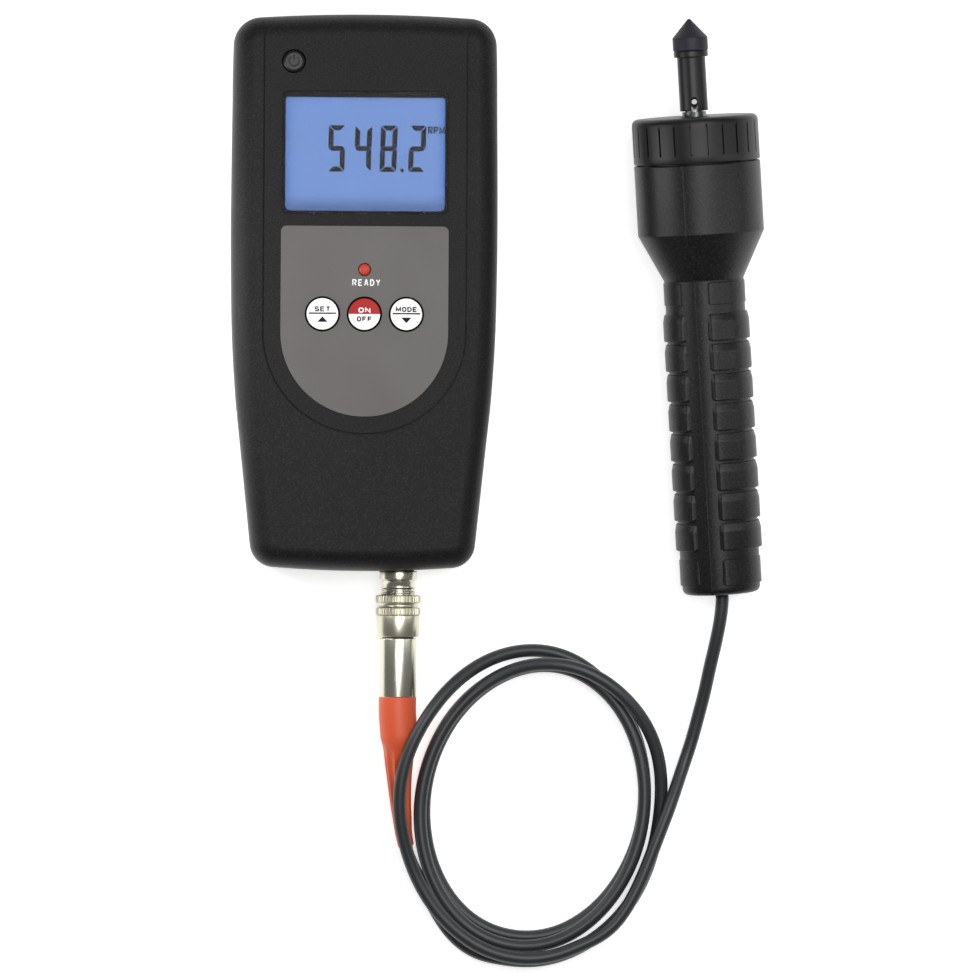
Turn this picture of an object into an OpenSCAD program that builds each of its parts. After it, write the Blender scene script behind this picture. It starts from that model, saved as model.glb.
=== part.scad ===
// Contact tachometer: a hand-held meter, a plug-in lead and a contact probe with a rubber tip.
// Millimetres. +X to the right, +Y towards the top of the display, +Z out of the front face.
// The origin lies in the middle of the meter's back face, which rests on the table.

/* [Meter case] */
// Length of the case
case_l = 148; // [146:0.5:152]
// Greatest width of the case
case_w = 71; // [70:0.5:74]
// Thickness over the raised panel
case_t = 30; // [29.6:0.1:31]
// Height of the joint between the two shells
split_z = 15; // [14:0.5:16]
// Wall thickness of both shells
wall = 2.2; // [1.8:0.1:2.4]
// Width of the soft rounding round the front face
front_round = 5.6; // [5:0.2:6.4]
// Depth of the soft rounding round the front face
front_fall = 7; // [6:0.5:8]
// Width and depth of the rounding round the back face
back_round = 4; // [3:0.5:4.5]
// Corner radius at the upper end
corner_r = 7.4; // [6:0.2:9]
// Corner radius at the lower end
corner_low_r = 6.6; // [5.5:0.2:8]
// Rise of the slightly bowed ends
crown = 0.9; // [0.4:0.1:1.4]

/* [Front panel] */
// Width of the raised D-shaped panel
panel_w = 53.2; // [50:0.2:54]
// Height of the raised panel above the rim
panel_rise = 0.6; // [0.4:0.1:1]
// Centre of the round lower ends of panel and overlay, from the upper edge of the overlay plate
dome_in = 28.2; // [27:0.2:30]
// Width of the display window
window_w = 44.1; // [42:0.1:45]
// Height of the display window
window_h = 32.6; // [31:0.1:33]
// Upper edge of the display window, from the upper end of the case
window_down = 20.9; // [20:0.1:22]
// Corner radius of the display window
window_r = 1.5; // [1:0.1:2.5]
// Thickness of the display window
window_t = 1.2; // [1:0.1:1.4]
// Width of the grey overlay plate
overlay_w = 44.4; // [43:0.1:46]
// Gap between the display window and the overlay plate
overlay_gap = 3.1; // [2.6:0.1:4]
// Corner radius at the upper edge of the overlay plate
overlay_r = 1.5; // [1:0.1:3]
// Thickness of the overlay plate
overlay_t = 0.5; // [0.4:0.05:0.7]
// Radius of the signal lamp
lamp_r = 1.5; // [1.2:0.1:2]
// Centre of the signal lamp, from the upper edge of the overlay plate
lamp_in = 11.5; // [10.5:0.1:12.5]

/* [Keys] */
// Radius of a function key
key_r = 4.35; // [4:0.05:4.6]
// Distance between the function keys
key_pitch = 11.1; // [10.8:0.1:12]
// Centre line of the function keys, from the upper edge of the overlay plate
key_in = 23.3; // [22.5:0.1:24]
// Height of the function keys above the overlay
key_rise = 0.9; // [0.6:0.1:1.4]
// Free gap round each key
key_gap = 0.32; // [0.3:0.02:0.4]
// Travel of each key
key_travel = 0.6; // [0.4:0.1:0.6]
// Radius of the standby key
standby_r = 2.85; // [2.4:0.05:3]
// Centre of the standby key, from the left side of the case
standby_side = 16.5; // [15.5:0.1:17.5]
// Centre of the standby key, from the upper end of the case
standby_down = 13.1; // [12.5:0.1:13.4]
// Height of the standby key above the panel
standby_rise = 0.2; // [0.1:0.1:0.8]

/* [Battery bay] */
// Diameter of one cell
cell_d = 10.5; // [10:0.1:10.6]
// Length of one cell
cell_l = 44.5; // [43.5:0.1:44.8]
// Distance between neighbouring cells
cell_pitch = 10.7; // [10.65:0.05:10.8]
// Thickness of the battery door
door_t = 2; // [1.8:0.1:2.1]

/* [Connector] */
// Sideways place of the connector
socket_x = 9.7; // [8:0.1:11]
// Height of the connector axis above the table
socket_z = 8.8; // [8.7:0.1:9.4]
// Radius of the socket flange
flange_r = 5.1; // [4.9:0.1:5.4]
// Radius of the socket thread
thread_r = 4.75; // [4.6:0.05:4.8]
// Radius of the coupling ring over the knurls
knurl_r = 6; // [5.9:0.05:6.2]
// Radius of the smooth part of the coupling ring
ring_r = 5.8; // [5.7:0.05:5.85]
// Radius of the plug shell
plug_r = 5.1; // [5:0.05:5.3]
// Length of the plug shell behind the ring
plug_l = 15.7; // [14:0.1:17]

/* [Cord] */
// Diameter of the cord
cord_d = 3.5; // [3.3:0.05:3.55]
// Radius of the boot where it leaves the plug
boot_r = 5; // [4.6:0.1:5.1]
// Radius of the boot at its tip
boot_tip_r = 2.15; // [2:0.05:2.3]

/* [Probe] */
// Angle of the probe to the length of the meter
probe_lean = 3.8; // [2:0.05:5]
// Radius of the grip under its ribs
grip_r = 10.6; // [10.3:0.1:10.8]
// Radius over the ribs
rib_r = 11.5; // [11.4:0.1:12]
// Number of ribs
rib_count = 8; // [6:1:8]
// Distance between the ribs
rib_pitch = 7.97; // [7.7:0.01:8]
// Length of one rib
rib_l = 7.2; // [6.6:0.1:7.3]
// Radius of the end pads
pad_r = 10.85; // [10.8:0.05:11.3]
// Start of the ribs, from the butt end
ribs_start = 12; // [11.5:0.1:12.5]
// Start of the cone, from the butt end
cone_start = 83.9; // [83.5:0.1:85]
// Start of the wide head, from the butt end
head_start = 96.3; // [95.5:0.1:97]
// End of the wide head, from the butt end
head_end = 114.9; // [114:0.1:116]
// Radius of the wide head
head_r = 16.8; // [16.2:0.1:17.2]
// Wall thickness of the probe housing
probe_wall = 1.9; // [1.6:0.1:2]

/* [Contact adapter] */
// Length of the adapter cap
cap_l = 12.1; // [11.5:0.1:13]
// Number of grooves round the cap
cap_grooves = 24; // [18:1:30]
// Rounding of the cap's upper edge
cap_round = 1.6; // [1:0.1:2]
// Radius of the spindle in its bearings
spindle_r = 2.5; // [2.3:0.05:2.6]
// Outer radius of the ball bearings
bearing_r = 5.5; // [5.2:0.1:5.8]
// Width of one ball bearing
bearing_w = 3; // [2.5:0.1:3.2]
// Radius of the chopper disc
disc_r = 12; // [10:0.5:12.5]
// Number of windows in the chopper disc
disc_windows = 6; // [4:1:8]

/* [Contact tip] */
// Radius of the tip sleeve
sleeve_r = 3.75; // [3.6:0.05:4]
// Length of the tip sleeve with its lip
sleeve_l = 16; // [15:0.1:17]
// Radius of the rubber tip
tip_r = 4.68; // [4.5:0.02:5]
// Straight length of the rubber tip
tip_straight = 3.5; // [2.5:0.1:4.5]
// Height of the rubber point
tip_point = 5.3; // [4.5:0.1:6.5]
// Width of the driving slot
slot_w = 1.6; // [1.5:0.05:1.8]
// Length of the driving slot
slot_l = 3.7; // [3.4:0.1:4.2]

/* [Hidden] */

// Overrun of every cut past the face that it opens
over = 0.5;
// Round shapes
$fn = 64;
// Clearance of a seated piece round its edge
seat_gap = 0.1;
// Clearance between bodies that slide or turn past each other
body_gap = 0.3;
// Radial clearance of a running fit
run_gap = 0.05;
// Radial clearance of a screw or pin in its own hole
pin_gap = 0.02;

// Case outline, each value a share of the length or of half the width
side_y_share = [-0.277, -0.189, -0.081, 0.027, 0.135, 0.304];
side_w_share = [0.921, 0.959, 0.987, 0.997, 1, 0.994];
top_w_share = 0.986;
low_w_share = 0.845;
arc_steps = 6;
round_steps = 5;
draft = 0.3;
least_r = 0.8;
rim_z = case_t - panel_rise;

// Places along the case, measured from its ends
top_y = case_l / 2;
end_y = -case_l / 2;
window_y = top_y - window_down - window_h / 2;
overlay_top = window_y - window_h / 2 - overlay_gap;
dome_y = overlay_top - dome_in;
lamp_y = overlay_top - lamp_in;
key_y = overlay_top - key_in;
standby_x = standby_side - case_w / 2;
standby_y = top_y - standby_down;

// Display stack, from the board to the window
board_t = 1.6;
board_z = 18.6;
board_top = board_z + board_t;
inner_z = rim_z - wall;
ledge = 0.95;
glass_t = 2.6;
frame_rim = 2.2;
frame_gap = 0.2;
frame_inset = 1.2;
window_z = case_t - window_t - panel_rise / 3;
glass_w = window_w + frame_inset;
glass_h = window_h + frame_inset;
frame_w = glass_w + 2 * frame_rim;
frame_h = glass_h + 2 * frame_rim;
frame_y = window_y;
lamp_ring = 0.25;

// Keys
flange_w = 0.9;
flange_t = 1;
flange_z = inner_z - body_gap - flange_t;
stem_r = 1.5;
switch_w = 6;
switch_h = 3.5;
plunger_r = 1.75;
plunger_h = 0.5;
stem_end = board_top + switch_h + plunger_h + key_travel + seat_gap;
key_edge = 0.35;

// Board and its bosses
board_side = 7.5;
board_end = 7;
board_start = 34;
board_w = case_w - 2 * board_side;
board_low = end_y + board_start;
board_high = top_y - board_end;
board_boss_r = 2.6;
board_screw_r = 1;
board_head_r = 1.9;
board_head_h = 1.2;
board_hole_in = 3.4;
board_low_in = 6;
board_mid_in = 9.7;
end_hole_in = 11.5;
board_hole_x = board_w / 2 - board_hole_in;
board_hole_low = board_low + board_low_in;
board_hole_mid = frame_y - frame_h / 2 - board_mid_in;
end_hole_y = top_y - end_hole_in;
board_holes = [[-board_hole_x, board_hole_mid], [board_hole_x, board_hole_mid],
    [-board_hole_x, board_hole_low], [board_hole_x, board_hole_low], [0, end_hole_y]];

// Case screws and their bosses: two at the upper end, two beyond the battery door
case_boss_r = 3.3;
end_hole_side = 8.1;
mid_hole_side = 7.3;
mid_hole_in = 5.5;
case_screw_r = 1.25;
case_head_r = 2.3;
case_head_h = 2;
head_gap = 0.3;
case_head_z = 2.4;
case_screw_l = 18;
cross_l_share = 1.4;
cross_w_share = 0.24;
cross_l = case_head_r * cross_l_share;
cross_w = case_head_r * cross_w_share;

// Battery bay: four cells side by side over the door
cell_z = 8.7;
cell_end = 17.6;
cell_low = end_y + cell_end;
bay_wall = 1.5;
bay_gap = 0.4;
bay_lip = 1.2;
door_lap = 2.4;
contact_t = 0.5;
contact_w = 7;
spring_r = 3;
spring_h = 1.4;
nub_r = 1.5;
bay_side = 1.5 * cell_pitch + cell_d / 2 + bay_gap;
bay_low = cell_low - spring_h - contact_t;
bay_high = cell_low + cell_l + contact_t;
bay_top = cell_z + cell_d / 2 + bay_gap;
door_side = bay_side + bay_lip;
door_high = bay_high + door_lap;
door_sink = 0.3;
door_tongue = 1.2;
door_tongue_t = 0.9;
door_gap = 0.3;
door_top = door_sink + door_t;
bay_floor_t = 1.2;
thumb_w = 12;
thumb_pitch = 1.6;
thumb_cut = 0.5;
thumb_count = 5;

// Connector stations, from the end of the case
flange_l = 2.35;
neck_end = 4.3;
neck_r = 4.45;
socket_end = 11.5;
thread_pitch = 1;
thread_depth = 0.3;
socket_bore = 3.55;
barrel_r = 4.2;
barrel_in = 6;
solder_l = 2;
seat_rim = 0.9;
nut_r = 5.5;
nut_t = 2;
socket_floor = 3.6;
pin_r = 0.4;
pin_ring = 1.8;
pin_count = 5;
pin_l = 3.6;
ring_start = 6.4;
knurl_w = 2.1;
band_w = 1.2;
band_r = 5.55;
knurl_teeth = 36;
knurl_depth = 0.35;
ring_end = 17.6;
ring_lip = 1.6;
ring_bore = thread_r + body_gap;
plug_nose_start = 5;
nose_r = socket_bore - run_gap;
nose_bore = 2.8;
plug_flange_start = 12.5;
plug_flange_end = 15.6;
plug_flange_r = 4.7;
plug_neck_r = 4.2;
plug_start = ring_end + body_gap;
plug_end = plug_start + plug_l;
insert_start = plug_nose_start + body_gap;

// Boot: its own centre line and radii
boot_start_y = end_y - plug_end;
boot_line = [[socket_x, boot_start_y, socket_z], [socket_x, -112, 8.75], [10.1, -117.7, 8.45], [10.2, -121.1, 8],
    [10.2, -124.6, 7.4], [10.3, -128.6, 6.55], [10.5, -132.6, 5.65], [10.8, -136.6, 4.8], [11.2, -140.4, 4.1],
    [11.6, -144.1, 3.5], [12.3, -147.5, 3.1]];
boot_r_share = [1, 1, 1, 0.76, 0.6, 0.44, 0.32, 0.22, 0.14, 0.05, 0];
boot_flute_share = [0, 0, 0, 0.05, 0.07, 0.08, 0.08, 0.07, 0.05, 0, 0];
boot_sides = 24;

// Cord. The coil's loops follow a leaning oval, the strands a lay pitch apart.
cord_r = cord_d / 2;
cord_lift = 0.05;
cord_z = cord_r + cord_lift;
lay_pitch = 4;
coil_centre = [45.9, -136.7];
coil_a = 29.9;
coil_b = 38.3;
coil_lean = 8.66;
coil_from = -30;
coil_step = 30;
coil_rings = 24;
coil_sides = 6;
lead_sides = 8;
lead_straight = cord_d;
// Places of the strand every twelfth of a turn: outward and upward, in shares of the lay pitch
coil_out_share = [0.8, 0.6, 0.6, 0.95, 1.5, 1.35, 1.15, 0.8, 0.3, 0.1, 0, -0.25,
    -0.55, -0.75, -0.6, -0.4, -0.25, -0.25, -0.25, -0.05, 0, 0, 0, -0.05,
    -0.1, -0.15, -0.1, -0.05, 0, -0.05, -0.1, 0.1, 0.55, 1.15, 1.1, 1.2,
    1, 0.85];
coil_up_share = [1.45, 1.6, 1.75, 2.1, 2.95, 2.95, 0.95, 0, 0, 0, 0, 0,
    0, 0, 0, 0, 0, 0, 0.1, 0.95, 1.05, 1.05, 1.05, 1.05,
    1, 0.9, 0.95, 1.05, 1.05, 1.05, 1.25, 2.05, 2.05, 1.1, 0, 0,
    0, 0];
// Short lead: from the last loop under the first one to the tip of the boot
short_line = [[29, -174.9, 1.8], [24.6, -171.3, 1.8], [21, -166.1, 1.8], [18.1, -160.7, 1.9],
    [15.5, -155.5, 2.2]];
// Probe lead: from the butt of the probe, over the outer strand, to the first loop
probe_line = [[95.6, -87.2, 9.7], [94.5, -93.2, 8.3], [93.1, -99.4, 6.6], [91.9, -105.9, 4.8],
    [90.3, -112.3, 3.3], [88.7, -118.7, 2.4], [86.6, -125.1, 2.2], [84.4, -131.5, 4.2],
    [82.7, -136.5, 5.7], [80.3, -142.7, 6.5], [77.9, -149.1, 6.8], [75.1, -156.2, 7],
    [71.8, -162.8, 7.2], [67.7, -168.6, 7.4]];

// Probe: it lies on the first rib and on the edge of the head
butt_place = [96, -79.3];
butt_r = 10.35;
butt_round = 2;
seam_angle = -17.5;
half_turn = 180;
strip_half = 12.5;
pad_sink = 0.5;
rib_top_edge = 2;
rib_top_drop = 0.45;
rib_low_edge = 0.4;
rest_station = ribs_start + rib_low_edge;
rest_lift = 0.02;
probe_tilt = atan2(head_r - rib_r, head_start - rest_station);
probe_z = (rib_r - rest_station * tan(probe_tilt)) * cos(probe_tilt) + rest_lift;
head_edge = 0.4;
pad_edge = 0.2;
butt_pad = [2.6, 9.6];
neck_pad = [77.4, 83.4];
cord_hole_r = 2.6;
grommet_l = 4;
mouth_r = head_r - probe_wall;
mouth_depth = 8;
window_seat = head_end - mouth_depth;
lens_t = 1.5;
probe_board_span = [24, 74];
sensor_room = 6.5;
sensor_board_z = window_seat - sensor_room;
sensor_board_r = mouth_r - probe_wall - seat_gap;
probe_board_w = 2 * (grip_r - probe_wall - seat_gap);
sensor_shift = 5;
lamp_body_r = 1.5;
lamp_body_l = 4.5;
probe_boss_r = 2.6;
probe_boss_z = [17, 79];
probe_screw_r = 0.9;
probe_head_r = 1.7;
probe_head_h = 1.3;
probe_head_low = grip_r - probe_wall - probe_head_h;

// Adapter, from its own lower face
cap_start = head_end + body_gap;
cap_end = cap_start + cap_l;
groove_w = 0.45;
groove_depth = 0.5;
groove_low = 2.2;
groove_edge = 0.9;
groove_top = cap_l - cap_round - groove_edge;
spigot_l = 5;
spigot_t = 1.5;
spigot_r = mouth_r - run_gap;
cap_wall = 2;
boss_wall = 1.6;
bearing_hole = bearing_r + pin_gap;
spacer_l = 2;
bearing_front_z = cap_end - cap_wall - bearing_w;
bearing_rear_z = bearing_front_z - spacer_l - bearing_w;
boss_low = bearing_rear_z;
spindle_seat_r = 3.2;
tip_room = 1.5;
sleeve_start = cap_end + tip_room;
disc_t = 0.8;
disc_room = 1.2;
disc_z = bearing_rear_z - disc_room - disc_t;
slit_from_share = 0.36;
slit_l_share = 0.5;
slit_w_share = 0.14;
disc_hub_r = 3.4;
disc_screw_r = 1;
disc_head_r = 2;
disc_head_h = 1;
drive_r = 0.7;
drive_l = 2 * (sleeve_r - seat_gap);
drive_z = sleeve_start + slot_l - slot_w / 2 - seat_gap - drive_r / 2;
sleeve_bore_l = 12;
bore_room = 1;
spindle_end = sleeve_start + sleeve_bore_l - bore_room;
lip_r = 4.55;
lip_l = 1.7;
tip_stem_r = 2;
tip_stem_l = 2.6;
tip_nose_r = 0.5;

// Points and rings

function unit(v) = v / norm(v);

function smooth_value(t, i, f) =
    let (n = len(t) - 1,
         a = t[max(i - 1, 0)], b = t[i], c = t[min(i + 1, n)], d = t[min(i + 2, n)])
    (2 * b + (c - a) * f + (2 * a - 5 * b + 4 * c - d) * f * f + (3 * b - a - 3 * c + d) * f * f * f) / 2;

function smooth_path(pts, steps) =
    [for (i = [0 : len(pts) - 2]) for (j = [0 : steps - 1]) smooth_value(pts, i, j / steps),
        pts[len(pts) - 1]];

// A ring round one point of a path, square to the path there
function ring_at(pts, i, r, sides, flute) =
    let (n = len(pts) - 1,
         along = unit(pts[min(i + 1, n)] - pts[max(i - 1, 0)]),
         across = unit(cross(along, [0, 0, 1])),
         up = cross(across, along))
    [for (k = [0 : sides - 1])
        let (a = 360 * (k + 0.5) / sides, rk = r * (1 - flute * (k % 2)))
        pts[i] + rk * (cos(a) * across + sin(a) * up)];

// A tube or tapered rod along a path, in triangles
module swept(pts, radii, sides, flutes) {
    n = len(pts);
    rings = [for (i = [0 : n - 1]) each ring_at(pts, i, radii[i], sides, flutes[i])];
    walls = [for (i = [0 : n - 2]) for (k = [0 : sides - 1])
        let (a = i * sides + k, b = i * sides + (k + 1) % sides)
        each [[a, b, b + sides], [a, b + sides, a + sides]]];
    first = [for (k = [1 : sides - 2]) [0, k + 1, k]];
    last = [for (k = [1 : sides - 2]) (n - 1) * sides * [1, 1, 1] + [0, k, k + 1]];
    polyhedron(points = rings, faces = concat(walls, first, last), convexity = 10);
}

module cord_tube(pts, sides) {
    swept(pts, [for (p = pts) cord_r], sides, [for (p = pts) 0]);
}

// Where the coil's centre line lies, at an angle counted from the bottom, clockwise from the front
function coil_point(angle) =
    let (k = (angle - coil_from) / coil_step,
         i = min(floor(k + 0.0001), len(coil_out_share) - 2),
         f = k - i,
         out = lay_pitch * smooth_value(coil_out_share, i, f),
         up = lay_pitch * max(smooth_value(coil_up_share, i, f), 0),
         x = -(coil_a + out) * sin(angle),
         y = -(coil_b + out) * cos(angle))
    [coil_centre[0] + x * cos(coil_lean) + y * sin(coil_lean),
     coil_centre[1] - x * sin(coil_lean) + y * cos(coil_lean),
     cord_z + up];

coil_to = coil_from + coil_step * (len(coil_out_share) - 1);
coil_turns = (coil_to - coil_from) / 360;
coil_loop = [for (k = [0 : coil_turns * coil_rings]) coil_point(coil_from + k * 360 / coil_rings)];
coil_last = len(coil_loop) - 1;
function end_way(a, b, c) = unit(3 * a - 4 * b + c);
head_way = end_way(coil_loop[0], coil_loop[1], coil_loop[2]);
tail_way = end_way(coil_loop[coil_last], coil_loop[coil_last - 1], coil_loop[coil_last - 2]);
coil_head = coil_loop[0] + lead_straight * head_way;
coil_tail = coil_loop[coil_last] + lead_straight * tail_way;
coil_line = [coil_head, each coil_loop, coil_tail];

// The probe's own frame: z along its axis from the butt, -y up
probe_axis = [-sin(probe_lean) * cos(probe_tilt), cos(probe_lean) * cos(probe_tilt), sin(probe_tilt)];
butt_point = [butt_place[0], butt_place[1], probe_z];
probe_lead_line = smooth_path([butt_point, butt_point - lead_straight * probe_axis, each probe_line,
    coil_head + lead_straight * head_way, coil_head], 2);
boot_last = len(boot_line) - 1;
boot_end = boot_line[boot_last];
boot_way = unit(boot_end - boot_line[boot_last - 1]);
short_lead_line = smooth_path([coil_tail, coil_tail + lead_straight * tail_way, each short_line,
    boot_end + lead_straight * boot_way, boot_end], 2);

// Least gap of the coil to itself, between points more than a quarter turn apart
function toward(p, a, b) =
    let (v = b - a, t = min(max((p - a) * v / (v * v), 0), 1)) norm(p - a - t * v);
coil_gap = min([for (i = [0 : coil_last]) for (j = [i + coil_rings / 4 : coil_last - 1])
    toward(coil_loop[i], coil_loop[j], coil_loop[j + 1])]) - cord_d;
function path_length(pts) = len(pts) < 2 ? 0 : [for (i = [1 : len(pts) - 1]) norm(pts[i] - pts[i - 1])] *
    [for (i = [1 : len(pts) - 1]) 1];
echo(least_gap_of_the_coil = coil_gap);
echo(cord_length = path_length(coil_line) + path_length(probe_lead_line) + path_length(short_lead_line));

// Half of the case outline, drawn in by an inset, from the lower middle to the upper middle
function half_outline(inset) =
    let (l = case_l / 2 - inset, w = case_w / 2,
         wt = w * top_w_share - inset, wl = w * low_w_share - inset,
         rt = max(corner_r - inset, least_r), rl = max(corner_low_r - inset, least_r))
    [[0, -l], [(wl - rl) / 2, -l + crown / 4],
     for (i = [0 : arc_steps]) let (a = -86 + 80 * i / arc_steps)
        [wl - rl + rl * cos(a), -l + crown + rl + rl * sin(a)],
     for (i = [0 : len(side_y_share) - 1]) [w * side_w_share[i] - inset, case_l * side_y_share[i]],
     for (i = [0 : arc_steps]) let (a = 2 + 84 * i / arc_steps)
        [wt - rt + rt * cos(a), l - crown - rt + rt * sin(a)],
     [(wt - rt) / 2, l - crown / 4], [0, l]];

function outline(inset) =
    let (h = half_outline(inset), n = len(h))
    [each h, for (i = [1 : n - 2]) [-h[n - 1 - i][0], h[n - 1 - i][1]]];

// A solid through rings of the outline, each at its own height and inset
module lofted(heights, insets) {
    n = len(outline(0));
    m = len(heights);
    pts = [for (i = [0 : m - 1]) for (p = outline(insets[i])) [p[0], p[1], heights[i]]];
    walls = [for (i = [0 : m - 2]) for (k = [0 : n - 1])
        let (a = i * n + k, b = i * n + (k + 1) % n)
        each [[a, b, b + n], [a, b + n, a + n]]];
    low = [for (k = [0 : n - 1]) k];
    high = [for (k = [n - 1 : -1 : 0]) (m - 1) * n + k];
    polyhedron(points = pts, convexity = 4,
        faces = [for (f = concat(walls, [low, high])) [for (i = [len(f) - 1 : -1 : 0]) f[i]]]);
}

// The front of the case, from the joint to a given top, with the soft rounding
module front_form(top, fall, inset) {
    turn = [for (i = [0 : round_steps]) 90 * i / round_steps];
    lofted([split_z - (inset > 0 ? over : 0), for (a = turn) top - fall + fall * sin(a)],
        [inset, for (a = turn) inset + draft + (front_round - inset * 0.5) * (1 - cos(a))]);
}

module back_form(low, inset) {
    turn = [for (i = [0 : round_steps]) 90 * i / round_steps];
    r = back_round - inset * 0.5;
    lofted([for (a = turn) low + r - r * cos(a), split_z + (inset > 0 ? over : 0)],
        [for (a = turn) inset + r * (1 - sin(a)), inset]);
}

module rounded_plate(w, h, t, r) {
    linear_extrude(t) hull() for (x = [-1, 1], y = [-1, 1])
        translate([x * (w / 2 - r), y * (h / 2 - r)]) circle(r, $fn = 32);
}

// D shape: round lower end, straight sides and, if given, rounded upper corners
module d_shape(w, top, t, corner = 0) {
    linear_extrude(t) {
        translate([0, dome_y]) circle(w / 2, $fn = 96);
        translate([-w / 2, dome_y]) square([w, top - corner - dome_y]);
        translate([corner - w / 2, dome_y]) square([w - 2 * corner, top - dome_y]);
        if (corner > 0) for (x = [corner - w / 2, w / 2 - corner])
            translate([x, top - corner]) circle(corner);
    }
}

end_hole_x = case_w / 2 - end_hole_side;
mid_hole_x = case_w / 2 - mid_hole_side;
mid_hole_y = door_high + mid_hole_in;
case_holes = [[-end_hole_x, end_hole_y], [end_hole_x, end_hole_y],
    [-mid_hole_x, mid_hole_y], [mid_hole_x, mid_hole_y]];
key_places = [[-key_pitch, key_y], [0, key_y], [key_pitch, key_y]];
standby_place = [standby_x, standby_y];

// Meter case

module front_shell() color("#2b2b2c") difference() {
    union() {
        difference() {
            union() {
                front_form(rim_z, front_fall, 0);
                intersection() {
                    front_form(case_t, front_fall + panel_rise, 0);
                    translate([0, 0, rim_z - front_fall * 2 / 3]) d_shape(panel_w, case_l, case_t);
                }
            }
            front_form(inner_z, front_fall - wall, wall);
        }
        for (p = board_holes) translate([p[0], p[1], board_top])
            cylinder(h = inner_z - board_top + over, r = board_boss_r);
        for (p = case_holes) translate([p[0], p[1], split_z])
            cylinder(h = inner_z - split_z, r = case_boss_r);
    }
    // display window and its ledge
    translate([0, window_y, window_z]) rounded_plate(window_w, window_h, case_t, window_r);
    translate([0, window_y, inner_z - over])
        rounded_plate(window_w - 2 * ledge, window_h - 2 * ledge, case_t, window_r);
    // recess of the overlay plate
    translate([0, 0, case_t - overlay_t + seat_gap])
        d_shape(overlay_w + 2 * seat_gap, overlay_top + seat_gap, case_t, overlay_r + seat_gap);
    // holes of the keys and the lamp
    for (p = key_places) translate([p[0], p[1], inner_z - over]) cylinder(h = case_t, r = key_r + key_gap);
    translate([standby_x, standby_y, inner_z - over]) cylinder(h = case_t, r = standby_r + key_gap);
    translate([0, lamp_y, inner_z - over]) cylinder(h = case_t, r = lamp_r + lamp_ring);
    // pilot holes of the screws
    for (p = board_holes) translate([p[0], p[1], board_top - over])
        cylinder(h = inner_z - board_top, r = board_screw_r + pin_gap);
    for (p = case_holes) translate([p[0], p[1], split_z - over])
        cylinder(h = inner_z - split_z, r = case_screw_r + pin_gap);
}

module back_shell() color("#2a2a2b") difference() {
    union() {
        difference() {
            back_form(0, 0);
            back_form(wall, wall);
        }
        for (p = case_holes) translate([p[0], p[1], wall / 2])
            cylinder(h = split_z - wall / 2, r = case_boss_r);
        // walls of the battery bay, standing on a thicker floor
        translate([-bay_side - bay_wall, bay_low - bay_wall, wall / 2])
            cube([2 * (bay_side + bay_wall), bay_high - bay_low + 2 * bay_wall,
                bay_top + bay_wall - wall / 2]);
        intersection() {
            back_form(0, wall / 2);
            translate([-door_side - door_tongue - wall, -case_l, wall / 2])
                cube([2 * (door_side + door_tongue + wall), case_l + door_high + wall,
                    door_top + door_gap + bay_floor_t - wall / 2]);
        }
        // seat of the socket behind the end wall
        translate([socket_x, end_y + wall / 2, socket_z]) rotate([-90, 0, 0])
            cylinder(h = wall, r = flange_r + seat_rim);
    }
    // room for the door: a wide slot above, a narrower mouth below
    translate([-door_side - seat_gap, -case_l, -over])
        cube([2 * (door_side + seat_gap), case_l + door_high + seat_gap, door_top + door_gap / 2 + over]);
    translate([-door_side - door_tongue - seat_gap, -case_l, door_top - door_tongue_t - door_gap / 2])
        cube([2 * (door_side + door_tongue + seat_gap), case_l + door_high + seat_gap,
            door_tongue_t + door_gap]);
    // the bay itself
    translate([-bay_side, bay_low, 0]) cube([2 * bay_side, bay_high - bay_low, bay_top]);
    // screw holes and sunk heads
    for (p = case_holes) translate([p[0], p[1], -over]) {
        cylinder(h = case_t, r = case_screw_r + run_gap);
        cylinder(h = case_head_z + case_head_h + over, r = case_head_r + head_gap);
    }
    // hole of the socket
    translate([socket_x, end_y - over, socket_z]) rotate([-90, 0, 0])
        cylinder(h = 2 * wall + over, r = barrel_r + seat_gap);
}

module display_window() color("#b9cdf0", 0.45) translate([0, window_y, window_z])
    rounded_plate(window_w - 2 * seat_gap, window_h - 2 * seat_gap, window_t, window_r - seat_gap);

module display_frame() color("#151515") difference() {
    intersection() {
        translate([-frame_w / 2, frame_y - frame_h / 2, board_top])
            cube([frame_w, frame_h, inner_z - board_top]);
        front_form(inner_z + over, front_fall - wall, wall + frame_gap);
    }
    translate([-glass_w / 2, frame_y - glass_h / 2, board_top - over]) cube([glass_w, glass_h, case_t]);
}

module display_glass() color("#6f93d6")
    translate([-glass_w / 2 + seat_gap, frame_y - glass_h / 2 + seat_gap, inner_z - glass_t - seat_gap])
        cube([glass_w - 2 * seat_gap, glass_h - 2 * seat_gap, glass_t]);

module display_backlight() color("#e8eefb")
    translate([-glass_w / 2 + seat_gap, frame_y - glass_h / 2 + seat_gap, board_top])
        cube([glass_w - 2 * seat_gap, glass_h - 2 * seat_gap, inner_z - glass_t - seat_gap - board_top]);

module overlay_plate() color("#716e6a") difference() {
    translate([0, 0, case_t - overlay_t + seat_gap]) d_shape(overlay_w, overlay_top, overlay_t, overlay_r);
    for (p = key_places) translate([p[0], p[1], 0]) cylinder(h = 2 * case_t, r = key_r + key_gap);
    translate([0, lamp_y, 0]) cylinder(h = 2 * case_t, r = lamp_r + lamp_ring);
}

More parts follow.
